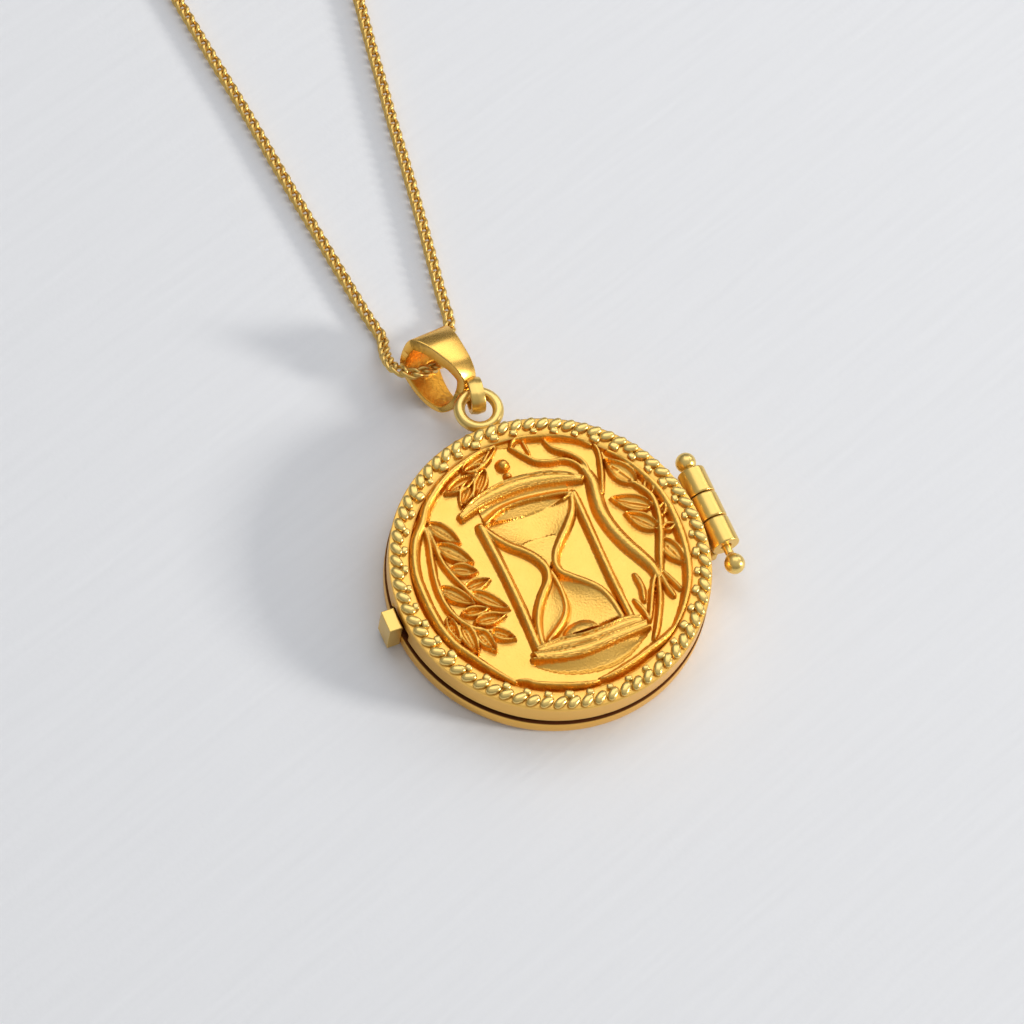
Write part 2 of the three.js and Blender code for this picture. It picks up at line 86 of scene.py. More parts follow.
# ---- sizes taken from the frame ----
BACK_RADIUS = corners("back_shell")[1][0]
BACK_HEIGHT = corners("back_shell")[1][2]
COVER_RADIUS = corners("front_cover")[1][0]
COVER_BOTTOM = corners("front_cover")[0][2]
RELIEF_TOP = corners("front_cover")[1][2]
WALL = 0.55
RELIEF_RISE = 0.4            # what the relief stands above the rim
RIM_TOP = RELIEF_TOP - RELIEF_RISE
CAVITY_RADIUS = COVER_RADIUS - WALL
HINGE, _ = joint("cover_hinge")
BAIL_PIVOT, BAIL_AXIS = joint("bail_swing")

# ---- the face, in millimetres from its centre ----
FIELD_RADIUS = 9.55
FIELD_FLOOR = RIM_TOP - 0.38
DRAWN_DEPTH = 0.65           # the depth that the heights below are drawn for
RELIEF_SCALE = (RELIEF_TOP - FIELD_FLOOR) / DRAWN_DEPTH
FIELD_STEP = 0.12            # the field inside the vine stands this far above the floor round it

VINE_LEFT = [(-0.2, 9.35), (-1.3, 9.3), (-2.6, 8.95), (-4.0, 8.4), (-5.4, 7.5), (-6.4, 6.6), (-7.1, 5.6),
             (-8.0, 4.6), (-8.6, 3.4), (-8.95, 2.2), (-9.05, 1.0), (-9.05, -0.5), (-8.9, -2.0),
             (-8.5, -3.4), (-7.8, -4.6), (-7.1, -5.7), (-6.3, -6.8), (-5.8, -7.4)]
VINE_TOP = [(0.9, 9.0), (1.3, 9.35), (2.3, 9.2), (3.8, 8.75), (5.2, 8.1), (6.1, 7.2)]
VINE_RIGHT = [(7.0, 6.4), (7.7, 5.6), (8.3, 4.6), (8.8, 3.5), (9.15, 2.4), (9.3, 1.2), (9.3, 0.0),
              (9.2, -1.2), (9.0, -2.4), (8.7, -3.5), (8.2, -4.7), (7.4, -5.9), (6.5, -6.9), (6.0, -7.3)]
VINE_LOW_RIGHT = [(6.35, -7.15), (5.2, -7.8), (3.7, -8.3), (2.1, -8.8), (0.4, -9.15), (-0.3, -9.15)]
VINE_LOW = [(-0.5, -9.25), (-1.2, -9.2), (-2.2, -8.95), (-3.4, -8.5), (-4.6, -7.95), (-5.0, -7.6),
            (-5.6, -7.35)]
VINES = [(VINE_LEFT, 0.27), (VINE_TOP, 0.2), (VINE_RIGHT, 0.29), (VINE_LOW_RIGHT, 0.22), (VINE_LOW, 0.2)]

# each stem is (points, half width, height)
STEMS = [
    ([(0.8, 8.9), (1.4, 8.1), (2.0, 7.4), (2.9, 7.0), (3.9, 6.8), (4.6, 6.2), (4.9, 5.4)], 0.17, 0.58),
    ([(1.8, 9.1), (1.9, 8.1)], 0.1, 0.4),
    ([(3.2, 8.6), (3.5, 7.9), (4.2, 7.3), (4.7, 6.8), (5.1, 6.1), (5.1, 5.0)], 0.17, 0.6),
    ([(6.2, 7.6), (6.4, 6.7), (6.1, 5.4), (5.4, 3.6)], 0.14, 0.55),
    ([(4.9, 5.9), (5.1, 4.7), (4.9, 3.5), (4.75, 2.4), (4.95, 0.9), (5.4, -0.5), (5.95, -1.7), (6.35, -2.7),
      (6.45, -3.5)], 0.37, 0.63),
    ([(7.6, 3.7), (8.1, 3.0), (8.45, 2.2), (8.4, 1.0), (7.9, -0.6), (7.3, -1.9), (6.7, -3.3)], 0.22, 0.62),
    ([(6.3, -3.3), (5.75, -4.1), (5.0, -5.5), (4.55, -6.3)], 0.15, 0.55),
    ([(6.45, -3.5), (5.8, -5.2), (4.8, -7.0), (4.3, -7.7)], 0.17, 0.58),
    ([(6.65, -3.4), (6.7, -4.5), (6.85, -5.2)], 0.18, 0.55),
    ([(6.85, -3.2), (7.25, -4.2), (7.5, -4.9)], 0.15, 0.5),
    ([(5.0, -2.8), (5.05, -3.9), (4.8, -4.8)], 0.16, 0.5),
    ([(4.2, -4.6), (4.5, -5.7), (4.5, -6.3)], 0.16, 0.5),
    ([(-7.05, 5.5), (-7.2, 4.2), (-7.55, 2.9), (-7.85, 1.6), (-8.0, 0.2), (-7.85, -1.1), (-7.4, -2.1),
      (-6.7, -2.9), (-5.8, -3.4)], 0.18, 0.58),
    ([(-6.9, 5.2), (-6.9, 4.0), (-6.95, 2.7), (-6.7, 1.4), (-6.3, 0.3), (-5.9, -0.8),
      (-5.3, -1.5)], 0.16, 0.56),
    ([(-0.6, 9.2), (-1.6, 8.3), (-2.5, 7.6)], 0.12, 0.45),
]

# each leaf is (base, tip, half width)
LEAVES = [
    ((-6.7, 5.5), (-5.25, 3.4), 0.5), ((-6.8, 3.8), (-4.95, 1.75), 0.5),
    ((-6.6, 1.85), (-4.95, 1.0), 0.42), ((-6.3, 0.1), (-4.4, 0.2), 0.4),
    ((-7.85, 0.8), (-6.1, -1.15), 0.45), ((-6.0, -0.2), (-4.05, -2.25), 0.42),
    ((-7.2, -1.5), (-5.35, -1.8), 0.32), ((-6.6, -2.4), (-4.45, -2.6), 0.4),
    ((-5.9, -3.3), (-4.5, -4.45), 0.38), ((-6.75, -2.8), (-6.1, -4.85), 0.42),
    ((-7.5, -2.1), (-7.3, -4.6), 0.44), ((-8.2, -1.4), (-8.1, -3.4), 0.3), ((-3.0, 8.3), (-0.2, 9.2), 0.5),
    ((-2.9, 8.25), (-1.4, 8.3), 0.22), ((-2.4, 7.7), (-4.75, 7.2), 0.42),
    ((-2.6, 7.55), (-4.1, 5.95), 0.42), ((-1.5, 7.9), (-3.1, 6.05), 0.36),
    ((7.9, 3.5), (6.55, 5.85), 0.62), ((8.2, 1.5), (5.75, 3.0), 0.56), ((7.95, -0.2), (6.25, 1.65), 0.5),
    ((7.75, -1.0), (8.6, -3.3), 0.52), ((8.2, -0.35), (9.1, -0.3), 0.24), ((8.4, 0.6), (9.05, 1.4), 0.24),
    ((8.5, 2.4), (8.6, 3.5), 0.28),
]

# the hourglass: lines across it from left to right, its bulb, its posts
CAP_LINES = [[(-3.1, 4.0), (-1.6, 3.8), (0.0, 3.7), (1.6, 3.7), (3.3, 4.2)],
             [(-3.1, 4.05), (-1.8, 4.65), (-0.4, 4.8), (1.2, 4.65), (2.6, 4.45), (3.3, 4.25)],
             [(-4.45, 5.0), (-2.8, 5.45), (-1.0, 5.65), (0.8, 5.65), (2.2, 5.45), (4.4, 4.95)],
             [(-4.5, 5.2), (-3.3, 5.95), (-1.8, 6.4), (-0.2, 6.6), (1.2, 6.5), (2.6, 6.2), (3.6, 5.75),
              (4.55, 5.1)]]
BASE_LINES = [[(-4.2, -6.5), (-3.0, -7.5), (-1.6, -8.15), (0.4, -8.5), (2.2, -8.2), (4.25, -7.0)],
              [(-4.0, -6.3), (-2.3, -6.85), (-0.8, -7.1), (0.6, -7.05), (2.1, -6.9), (4.3, -6.75)],
              [(-3.8, -5.95), (-1.8, -6.3), (0.0, -6.45), (1.9, -6.4), (4.2, -6.35)],
              [(-3.5, -5.7), (-1.8, -5.55), (-0.1, -5.75), (1.6, -5.75), (2.9, -5.65), (4.0, -5.9)]]
BULB_LEFT = [(-3.4, 3.9), (-2.9, 3.0), (-2.2, 2.05), (-1.4, 1.3), (-0.8, 0.5), (-0.5, -0.4), (-0.7, -1.2),
             (-1.5, -2.1), (-2.25, -3.1), (-2.75, -4.2), (-3.0, -5.4)]
BULB_RIGHT = [(3.3, 4.1), (2.9, 3.1), (2.0, 2.0), (1.1, 1.1), (0.5, 0.4), (0.2, -0.3), (0.3, -0.9),
              (0.95, -1.6), (1.7, -2.3), (2.35, -3.1), (2.7, -4.1), (2.85, -5.4)]
BULB_FOLD = [(-0.3, -0.5), (-0.22, -1.3), (-0.2, -2.4), (-0.4, -3.5), (-0.95, -4.3), (-1.9, -5.0),
             (-2.7, -5.5)]
SAND_ABOVE = [(-1.35, 1.85), (1.45, 1.65), (0.75, 0.75), (0.1, 0.1), (-0.35, -0.4), (-0.8, 0.75)]
POSTS = [([(-3.45, 3.95), (-3.3, 1.0), (-3.25, -2.4), (-3.35, -5.7)], 0.27),
         ([(3.5, 4.2), (3.45, 1.0), (3.4, -2.4), (3.45, -5.7)], 0.24)]
KNOBS = [((-0.2, 7.85), 0.5, 0.72), ((-0.18, 7.0), 0.3, 0.55), ((-3.5, 4.0), 0.33, 0.64),
         ((3.5, 4.15), 0.28, 0.6), ((0.5, -6.45), 0.34, 0.62)]

# ---- the chain's route, in millimetres ----
CHAIN_WIDTH = 0.9
CHAIN_LOW = CHAIN_WIDTH / 2
CHAIN_TO_CLASP = [(0.38, 71.6, 0.75), (1.0, 72.4, 0.55), (1.6, 73.12, 0.6)]
CHAIN_TO_RING = [(-1.1, 71.3, 0.65), (0.0, 72.7, 0.45), (1.2, 74.4, 0.45), (2.8, 75.9, 0.45),
                 (4.6, 76.9, 0.45)]
CHAIN_LEFT = [(-3.3, 21.6), (-3.6, 23.4), (-3.94, 26.5), (-4.3, 30), (-4.67, 33.6), (-5.01, 37.2),
              (-5.32, 40.8), (-5.73, 44.5), (-6.15, 48.2), (-6.53, 52), (-6.8, 55), (-6.88, 57.2)]
CHAIN_RIGHT = [(1.8, 21.5), (1.93, 22.7), (2.2, 24.4), (2.72, 27.5), (3.25, 30.8), (3.74, 34.1),
               (4.21, 37.5), (4.75, 40.9), (5.27, 44.3), (5.85, 47.7), (6.08, 49.5), (6.0, 51.2),
               (5.3, 52.4)]
CHAIN_IN_BAIL = [(-3.26, 21.3, 0.45), (-3.6, 20.2, 0.9), (-3.92, 19.0, 1.7), (-3.85, 17.8, 2.4),
                 (-2.9, 16.95, 2.6), (-1.3, 17.1, 2.25), (-0.1, 17.7, 1.8), (0.65, 18.6, 1.45),
                 (1.15, 19.6, 0.95), (1.5, 20.5, 0.55), (1.75, 21.2, 0.45)]
CHAIN_END_PIECES = ("clasp_body", "clasp_lever", "clasp_pin", "clasp_spring", "clasp_jump_ring",
                    "chain_end_ring")
COIL_PITCH = 0.95
COIL_INNER = 3.9
COIL_OUTER = 8.5
COIL_EXIT = 140              # degrees round the coil, where both ends leave it
COIL_CLIMB = 0.3             # turns from the first layer to the second


# ---- property groups ----
class LocketSizes(bpy.types.PropertyGroup):
    """Sizes of what is modelled round the frame."""

    relief_cells: IntProperty(name="Relief cells", description="Cells across the face", default=296,
                              min=60, max=310)
    rope_turns: IntProperty(name="Rope turns", description="Strands round the rim", default=72,
                            min=20, max=120)
    rope_slant: FloatProperty(name="Rope slant", description="How far a strand leans along the rim",
                              default=math.radians(40), subtype="ANGLE")
    bead_count: IntProperty(name="Beads", description="Beads inside the rope", default=44, min=12, max=90)
    link_pitch: FloatProperty(name="Link pitch", description="From one link to the next", default=0.00082,
                              unit="LENGTH", precision=5)
    link_wire: FloatProperty(name="Link wire", description="Radius of a link's wire", default=0.000165,
                             unit="LENGTH", precision=5)
    link_twist: FloatProperty(name="Link twist", description="How far a link's corners stand up and down",
                              default=0.00017, unit="LENGTH", precision=5)
    chain_length: FloatProperty(name="Chain length", description="From ring to ring", default=0.43,
                                unit="LENGTH")


class LocketFinishes(bpy.types.PropertyGroup):
    """Colours and finishes of the metals and the floor."""

    gold: FloatVectorProperty(name="Gold", description="Colour of the plating", subtype="COLOR", size=3,
                              default=(0.97, 0.585, 0.14))
    # This deeper gold serves random mottle and painted shade: hollows and steep flanks are mixed towards it,
    # standing in for shade and for gold light reflected from nearby gold.
    mottle_and_shade_gold: FloatVectorProperty(name="Deep gold", description="Colour of the plating in hollows",
                                   subtype="COLOR", size=3, default=(0.82, 0.38, 0.035))
    satin: FloatProperty(name="Satin", description="Roughness of the satin faces", default=0.34, min=0, max=1,
                         subtype="FACTOR")
    polish: FloatProperty(name="Polish", description="Roughness of the polished pieces", default=0.14,
                          min=0, max=1, subtype="FACTOR")
    floor: FloatVectorProperty(name="Floor", description="Colour of the painted board", subtype="COLOR",
                               size=3, default=(0.87, 0.885, 0.91))


# ---- node trees ----
class Value:
    """A socket that takes part in arithmetic; each step adds its Math node."""

    def __init__(self, graph, socket):
        self.graph = graph
        self.socket = socket

    def step(self, operation, first, second):
        return self.graph.add("ShaderNodeMath", {"operation": operation}, {0: first, 1: second})

    def __add__(self, other):
        return self.step("ADD", self, other)

    def __radd__(self, other):
        return self.step("ADD", other, self)

    def __sub__(self, other):
        return self.step("SUBTRACT", self, other)

    def __rsub__(self, other):
        return self.step("SUBTRACT", other, self)

    def __mul__(self, other):
        return self.step("MULTIPLY", self, other)

    def __rmul__(self, other):
        return self.step("MULTIPLY", other, self)


class Graph:
    """Adds nodes to a shader or geometry tree."""

    def __init__(self, tree):
        self.tree = tree

    def node(self, kind, settings=None, inputs=None):
        """A node of one type, with its settings made first and then its sockets' values or links."""
        made = self.tree.nodes.new(kind)
        for name, value in (settings or {}).items():
            if name == "stops":
                for stop, (place, colour) in zip(made.color_ramp.elements, value):
                    stop.position = place
                    stop.color = (*colour, 1)
            else:
                setattr(made, name, value)
        for key, value in (inputs or {}).items():
            if isinstance(value, Value):
                self.tree.links.new(value.socket, made.inputs[key])
            elif value is not None:
                made.inputs[key].default_value = value
        return made

    def add(self, kind, settings=None, inputs=None, output=0):
        """The same, and its output as a value."""
        return Value(self, self.node(kind, settings, inputs).outputs[output])


def geometry_graph(name, named_inputs):
    """A geometry tree with named inputs; gives its graph, its input values and its outlet node."""
    tree = bpy.data.node_groups.new(name, "GeometryNodeTree")
    tree.interface.new_socket("Geometry", in_out="INPUT", socket_type="NodeSocketGeometry")
    tree.interface.new_socket("Geometry", in_out="OUTPUT", socket_type="NodeSocketGeometry")
    for label, kind in named_inputs:
        tree.interface.new_socket(label, in_out="INPUT", socket_type=kind)
    graph = Graph(tree)
    inlet = tree.nodes.new("NodeGroupInput")
    outlet = tree.nodes.new("NodeGroupOutput")
    return graph, {s.name: Value(graph, s) for s in inlet.outputs if s.name}, outlet


def close_graph(graph, outlet, geometry, material):
    """Ends a geometry tree: what it placed becomes one smooth mesh with its material."""
    real = graph.add("GeometryNodeRealizeInstances", inputs={"Geometry": geometry})
    smooth = graph.add("GeometryNodeSetShadeSmooth", inputs={0: real})
    done = graph.add("GeometryNodeSetMaterial", inputs={"Geometry": smooth, "Material": material})
    graph.tree.links.new(done.socket, outlet.inputs[0])


def grown(name, guide_mesh, graph, values):
    """Runs a geometry tree once on a guide mesh and gives the result as a plain object."""
    guide = bpy.data.objects.new(name + "_guide", guide_mesh)
    bpy.context.scene.collection.objects.link(guide)
    modifier = guide.modifiers.new("Shape", "NODES")
    modifier.node_group = graph.tree
    for item in graph.tree.interface.items_tree:
        if item.in_out == "INPUT" and item.name in values:
            modifier[item.identifier] = values[item.name]
    evaluated = guide.evaluated_get(bpy.context.evaluated_depsgraph_get())
    mesh = bpy.data.meshes.new_from_object(evaluated)
    guide.modifiers.clear()
    bpy.data.objects.remove(guide)
    mesh.name = name
    piece = bpy.data.objects.new(name, mesh)
    bpy.context.scene.collection.objects.link(piece)
    return piece


# ---- meshes ----
def new_piece(name, vertices, faces, sharp=35):
    """An object from a mesh in millimetres, with doubles merged and faces turned outwards."""
    mesh = bpy.data.meshes.new(name)
    mesh.from_pydata((np.asarray(vertices, float) * MM).tolist(), [], faces)
    form = bmesh.new()
    form.from_mesh(mesh)
    bmesh.ops.remove_doubles(form, verts=form.verts, dist=1e-8)
    bmesh.ops.recalc_face_normals(form, faces=form.faces)
    form.to_mesh(mesh)
    form.free()
    mesh.shade_smooth()
    mesh.set_sharp_from_angle(angle=math.radians(sharp))
    piece = bpy.data.objects.new(name, mesh)
    bpy.context.scene.collection.objects.link(piece)
    return piece


def dress(piece, body, slot, material, *stands_for):
    """Gives a finished piece its material and its body, and hides the CAD nodes that it stands for; its slot
    argument is not used.
    """
    piece.data.materials.clear()
    piece.data.materials.append(material)
    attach(piece, body)
    if stands_for:
        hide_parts(*stands_for)
    return piece


def joined(*shells):
    """Several (vertices, faces) as one."""
    vertices, faces, count = [], [], 0
    for shell_vertices, shell_faces in shells:
        vertices.append(np.asarray(shell_vertices, float))
        faces += [[i + count for i in face] for face in shell_faces]
        count += len(shell_vertices)
    return np.concatenate(vertices), faces


def rounded(outline, radius, steps=4):
    """A closed outline with its corners rounded."""
    points = np.array(outline, float)
    line = []
    for i, corner in enumerate(points):
        for other, order in ((points[i - 1], 0), (points[(i + 1) % len(points)], 1)):
            reach = min(radius / np.linalg.norm(other - corner), 0.45)
            if order == 0:
                start = corner + (other - corner) * reach
            else:
                end = corner + (other - corner) * reach
        for k in range(steps + 1):
            t = k / steps
            line.append((1 - t) ** 2 * start + 2 * t * (1 - t) * corner + t * t * end)
    return np.array(line)


def turned(outline, steps=128):
    """A closed outline of (radius, height) turned about Z."""
    outline = np.array(outline, float)
    count = len(outline)
    angles = np.arange(steps) / steps * 2 * math.pi
    vertices = np.stack([np.outer(np.cos(angles), outline[:, 0]), np.outer(np.sin(angles), outline[:, 0]),
                         np.tile(outline[:, 1], (steps, 1))], -1).reshape(-1, 3)
    faces = [[i * count + k, (i + 1) % steps * count + k, (i + 1) % steps * count + (k + 1) % count,
              i * count + (k + 1) % count] for i in range(steps) for k in range(count)]
    return vertices, faces


def along_y(shell, centre):
    """A shell turned about Z laid along Y, with its axis through a centre."""
    vertices, faces = shell
    return np.stack([vertices[:, 0], vertices[:, 2], -vertices[:, 1]], -1) + np.array(centre), faces


def lofted(rings, closed=False):
    """A skin over rings of points, capped at both ends unless it closes on itself."""
    count, size = len(rings), len(rings[0])
    vertices = np.concatenate(rings)
    spans = count if closed else count - 1
    faces = [[i * size + k, i * size + (k + 1) % size, (i + 1) % count * size + (k + 1) % size,
              (i + 1) % count * size + k] for i in range(spans) for k in range(size)]
    if not closed:
        faces += [list(range(size))[::-1], list(range((count - 1) * size, count * size))]
    return vertices, faces


def ball(centre, radius, steps=48):
    """A turned ball."""
    angles = np.linspace(-math.pi / 2, math.pi / 2, steps // 2 + 1)
    vertices, faces = turned([(radius * math.cos(a), radius * math.sin(a)) for a in angles], steps)
    return vertices + np.array(centre), faces


def slab(low, high, edge):
    """A block with rounded upright edges and rounded rims."""
    low, high = np.array(low, float), np.array(high, float)
    outline = rounded([(low[0], low[1]), (high[0], low[1]), (high[0], high[1]), (low[0], high[1])], edge, 5)
    middle = (low[:2] + high[:2]) / 2
    rings = []
    for k in (-4, -3, -2, -1, 0, 0, 1, 2, 3, 4):
        turn = abs(k) / 4 * math.pi / 2
        pull = edge * (1 - math.cos(turn))
        z = high[2] - edge * (1 - math.sin(turn))
        if len(rings) < 5:
            z = low[2] + edge * (1 - math.sin(turn))
        shrink = 1 - pull / (high[:2] - middle)
        rings.append(np.column_stack([middle + (outline - middle) * shrink, np.full(len(outline), z)]))
    return lofted(rings)


def smooth_line(points, steps=8, closed=False):
    """A centripetal Catmull-Rom curve through points."""
    points = np.array(points, float)
    if closed:
        knots = np.concatenate([points[-1:], points, points[:2]])
    else:
        knots = np.concatenate([[2 * points[0] - points[1]], points, [2 * points[-1] - points[-2]]])
    line = []
    for i in range(1, len(knots) - 2):
        p = knots[i - 1:i + 3]
        t = np.concatenate([[0], np.cumsum(np.sqrt(np.linalg.norm(np.diff(p, axis=0), axis=1)))])
        for s in np.linspace(t[1], t[2], steps, endpoint=False):
            a = [((t[k + 1] - s) * p[k] + (s - t[k]) * p[k + 1]) / (t[k + 1] - t[k]) for k in range(3)]
            b = [((t[k + 2] - s) * a[k] + (s - t[k]) * a[k + 1]) / (t[k + 2] - t[k]) for k in range(2)]
            line.append(((t[2] - s) * b[0] + (s - t[1]) * b[1]) / (t[2] - t[1]))
    return np.array(line if closed else line + [points[-1]])


def evenly(line, step):
    """The same line with points at equal steps."""
    run = np.concatenate([[0], np.cumsum(np.linalg.norm(np.diff(line, axis=0), axis=1))])
    places = np.linspace(0, run[-1], max(2, round(run[-1] / step) + 1))
    return np.column_stack([np.interp(places, run, line[:, k]) for k in range(line.shape[1])])


def line_length(line):
    """How long a line of points is."""
    return float(np.linalg.norm(np.diff(line, axis=0), axis=1).sum())


def fused(name, shell, cell, passes=6):
    """Closed shells that overlap, fused into one soft-edged casting."""
    rough = new_piece(name + "_rough", *shell)
    remesh = rough.modifiers.new("Fuse", "REMESH")
    remesh.mode = "VOXEL"
    remesh.voxel_size = cell * MM
    smooth = rough.modifiers.new("Soften", "SMOOTH")
    smooth.iterations = passes
    smooth.factor = 0.5
    evaluated = rough.evaluated_get(bpy.context.evaluated_depsgraph_get())
    mesh = bpy.data.meshes.new_from_object(evaluated)
    bpy.data.objects.remove(rough)
    mesh.name = name
    mesh.shade_smooth()
    piece = bpy.data.objects.new(name, mesh)
    bpy.context.scene.collection.objects.link(piece)
    return piece


def shell_of(node):
    """The merged shell of a CAD node, in millimetres."""
    form = bmesh.new()
    form.from_mesh(frame["nodes"][node].data)
    bmesh.ops.remove_doubles(form, verts=form.verts, dist=1e-7)
    vertices = np.array([v.co for v in form.verts]) / MM
    faces = [[v.index for v in f.verts] for f in form.faces]
    form.free()
    return vertices, faces


# ---- materials ----
def object_place(graph):
    """Object coordinates in millimetres."""
    place = graph.add("ShaderNodeTexCoord", output="Object")
    return graph.add("ShaderNodeMapping", {}, {"Vector": place, "Scale": (1 / MM, 1 / MM, 1 / MM)})


def noise(graph, place, scale, detail=3.0, stretch=None):
    """Noise over a place, as a value between 0 and 1."""
    if stretch:
        place = graph.add("ShaderNodeMapping", {}, {"Vector": place, "Scale": stretch})
    return graph.add("ShaderNodeTexNoise", {}, {"Vector": place, "Scale": scale, "Detail": detail})


def mixed(graph, share, first, second):
    """A colour between two colours."""
    return graph.add("ShaderNodeMix", {"data_type": "RGBA"}, {0: share, 6: first, 7: second}, output=2)


def new_material(name):
    """An empty principled material, its graph and its shader node."""
    material = bpy.data.materials.new(name)
    material.use_nodes = True
    graph = Graph(material.node_tree)
    return material, graph, material.node_tree.nodes["Principled BSDF"]


def feed(graph, shader, **links):
    """Sets or links a shader's sockets."""
    for name, value in links.items():
        socket = shader.inputs[name.replace("_", " ")]
        if isinstance(value, Value):
            graph.tree.links.new(value.socket, socket)
        else:
            socket.default_value = value


def satin():
    """Roughness of the satin faces."""
    return bpy.context.scene.locket_finishes.satin


def polish():
    """Roughness of the polished pieces."""
    return bpy.context.scene.locket_finishes.polish


def gold_finish(name, roughness, grain, grain_depth, mottle=0.25, hollow=None, plain_grain=0.45):
    """Gold plating: tone and gloss drift, with a fine grain; a piece may name its hollows, whose colour is
    darkened as painted shade.
    """
    look = bpy.context.scene.locket_finishes
    material, graph, shader = new_material(name)
    place = object_place(graph)
    cloud = noise(graph, place, 0.55, 2.0)
    fine = noise(graph, place, grain, 2.0)
    tone = cloud * mottle
    height = fine
    if hollow:
        depth = graph.add("ShaderNodeAttribute", {"attribute_name": hollow}, output="Fac")
        # The hollow mask pulls the colour towards the deeper gold as painted shade and painted gold-on-gold
        # reflection; it also roughens the surface and deepens the grain there.
        tone = tone + depth * 0.8
        height = fine * (depth * 0.9 + plain_grain)
        rough = roughness - 0.1 + depth * 0.16 + fine * 0.06
    else:
        rough = roughness - 0.03 + fine * 0.06
    colour = mixed(graph, tone, (*look.gold, 1), (*look.mottle_and_shade_gold, 1))
    bump = graph.add("ShaderNodeBump", {}, {"Height": height, "Strength": 0.6, "Distance": grain_depth * MM})
    feed(graph, shader, Base_Color=colour, Metallic=1.0, Roughness=rough, Normal=bump)
    return material


def shell_finish():
    """Satin gold with painted shade, dark reddish brown, where the two shells meet."""
    made = gold_finish("shell_gold", satin(), 9.0, 0.012)
    graph = Graph(made.node_tree)
    shader = made.node_tree.nodes["Principled BSDF"]
    seam = graph.add("ShaderNodeAttribute", {"attribute_name": "seam"}, output="Fac")
    plain = Value(graph, shader.inputs["Base Color"].links[0].from_socket)
    gloss = Value(graph, shader.inputs["Roughness"].links[0].from_socket)
    # Painted shadow of the cover in the seam, dark reddish brown.
    seam_shade = mixed(graph, seam, plain, (0.16, 0.05, 0.015, 1))
    feed(graph, shader, Base_Color=seam_shade, Roughness=gloss + seam * 0.3)
    return made


def acetate_finish():
    """Clear film over a photograph."""
    material, graph, shader = new_material("clear_acetate")
    haze = noise(graph, object_place(graph), 0.8)
    feed(graph, shader, Base_Color=(0.9, 0.93, 0.95, 1), Roughness=haze * 0.1 + 0.06,
         Alpha=haze * 0.06 + 0.16)
    return material


def steel_finish():
    """Bare spring strip with its rolling lines."""
    material, graph, shader = new_material("spring_steel")
    lines = noise(graph, object_place(graph), 6.0, 2.0, stretch=(1, 8, 1))
    tone = mixed(graph, lines, (0.42, 0.42, 0.43, 1), (0.6, 0.6, 0.62, 1))
    feed(graph, shader, Base_Color=tone, Metallic=1.0, Roughness=lines * 0.15 + 0.25)
    return material


def board_finish():
    """Painted board with faint brush strokes."""
    look = bpy.context.scene.locket_finishes
    material, graph, shader = new_material("painted_board")
    place = graph.add("ShaderNodeMapping", {}, {"Vector": object_place(graph), "Rotation": (0, 0, -0.33)})
    strokes = noise(graph, place, 0.9, 5.0, stretch=(0.12, 1.6, 1))
    speck = noise(graph, place, 2.6, 3.0)
    paler = tuple(min(1, c * 1.03) for c in look.floor)
    darker = tuple(c * 0.97 for c in look.floor)
    bump = graph.add("ShaderNodeBump", {}, {"Height": strokes + speck * 0.35, "Strength": 0.25,
                                            "Distance": 0.12 * MM})
    tone = mixed(graph, strokes, (*darker, 1), (*paler, 1))
    feed(graph, shader, Base_Color=tone, Roughness=0.75, Normal=bump)
    return material


# each gold's roughness, grain to the millimetre and depth of grain, then its mottle, the mask of its hollows,
# which are darkened as painted shade, and the grain outside them
MATERIALS = {
    "satin_gold": lambda: gold_finish("satin_gold", satin(), 9.0, 0.012),
    "face_gold": lambda: gold_finish("face_gold", satin() + 0.03, 7.0, 0.12, 0.45, "hollow", 0.35),
    "cast_gold": lambda: gold_finish("cast_gold", satin(), 4.0, 0.14, 0.2, "hollow", 0.01),
    "polished_gold": lambda: gold_finish("polished_gold", polish(), 6.0, 0.004),
    "chain_gold": lambda: gold_finish("chain_gold", 0.2, 7.0, 0.006),
    "shell_gold": shell_finish,
    "spring_steel": steel_finish,
    "clear_acetate": acetate_finish,
}


def material(name):
    """A material by its name, made the first time it is asked for."""
    return bpy.data.materials.get(name) or MATERIALS[name]()


# ---- the chain ----
def coil_arm(start_angle, start_radius, whole_turns):
    """One of the coil's two arms: inward on the board, then outward on top of itself."""
    centre = (np.array(corners("chain_coil")[0][:2]) + corners("chain_coil")[1][:2]) / 2
    pitch = 2 * COIL_PITCH
    inward = (start_radius - COIL_INNER) / pitch
    turn_at_climb = (start_angle - 360 * inward) % 360
    outward = ((turn_at_climb - COIL_EXIT) % 360) / 360 + whole_turns
    points = []
    for t in np.arange(0, inward + outward, 1 / 48):
        lift = np.clip((t - inward) / COIL_CLIMB, 0, 1)
        lift = lift * lift * (3 - 2 * lift)
        radius = start_radius - pitch * t if t < inward else COIL_INNER + pitch * (t - inward)
        angle = math.radians(start_angle - 360 * t)
        points.append((centre[0] + radius * math.cos(angle), centre[1] + radius * math.sin(angle),
                       CHAIN_LOW + lift * CHAIN_WIDTH))
    return points


def chain_path():
    """The whole chain: clasp, coil, left run, bail, right run, coil, end ring."""
    left_arm = coil_arm(180, COIL_OUTER, 1)
    right_arm = coil_arm(270, COIL_OUTER - COIL_PITCH / 2, 2)
    laid = [(x, y, CHAIN_LOW) for x, y in CHAIN_LEFT]
    risen = [(x, y, CHAIN_LOW) for x, y in CHAIN_RIGHT]
    points = (CHAIN_TO_CLASP[::-1] + left_arm[::-1] + laid[::-1] + CHAIN_IN_BAIL + risen + right_arm
              + CHAIN_TO_RING)
    return evenly(smooth_line(points, 4), 0.25)


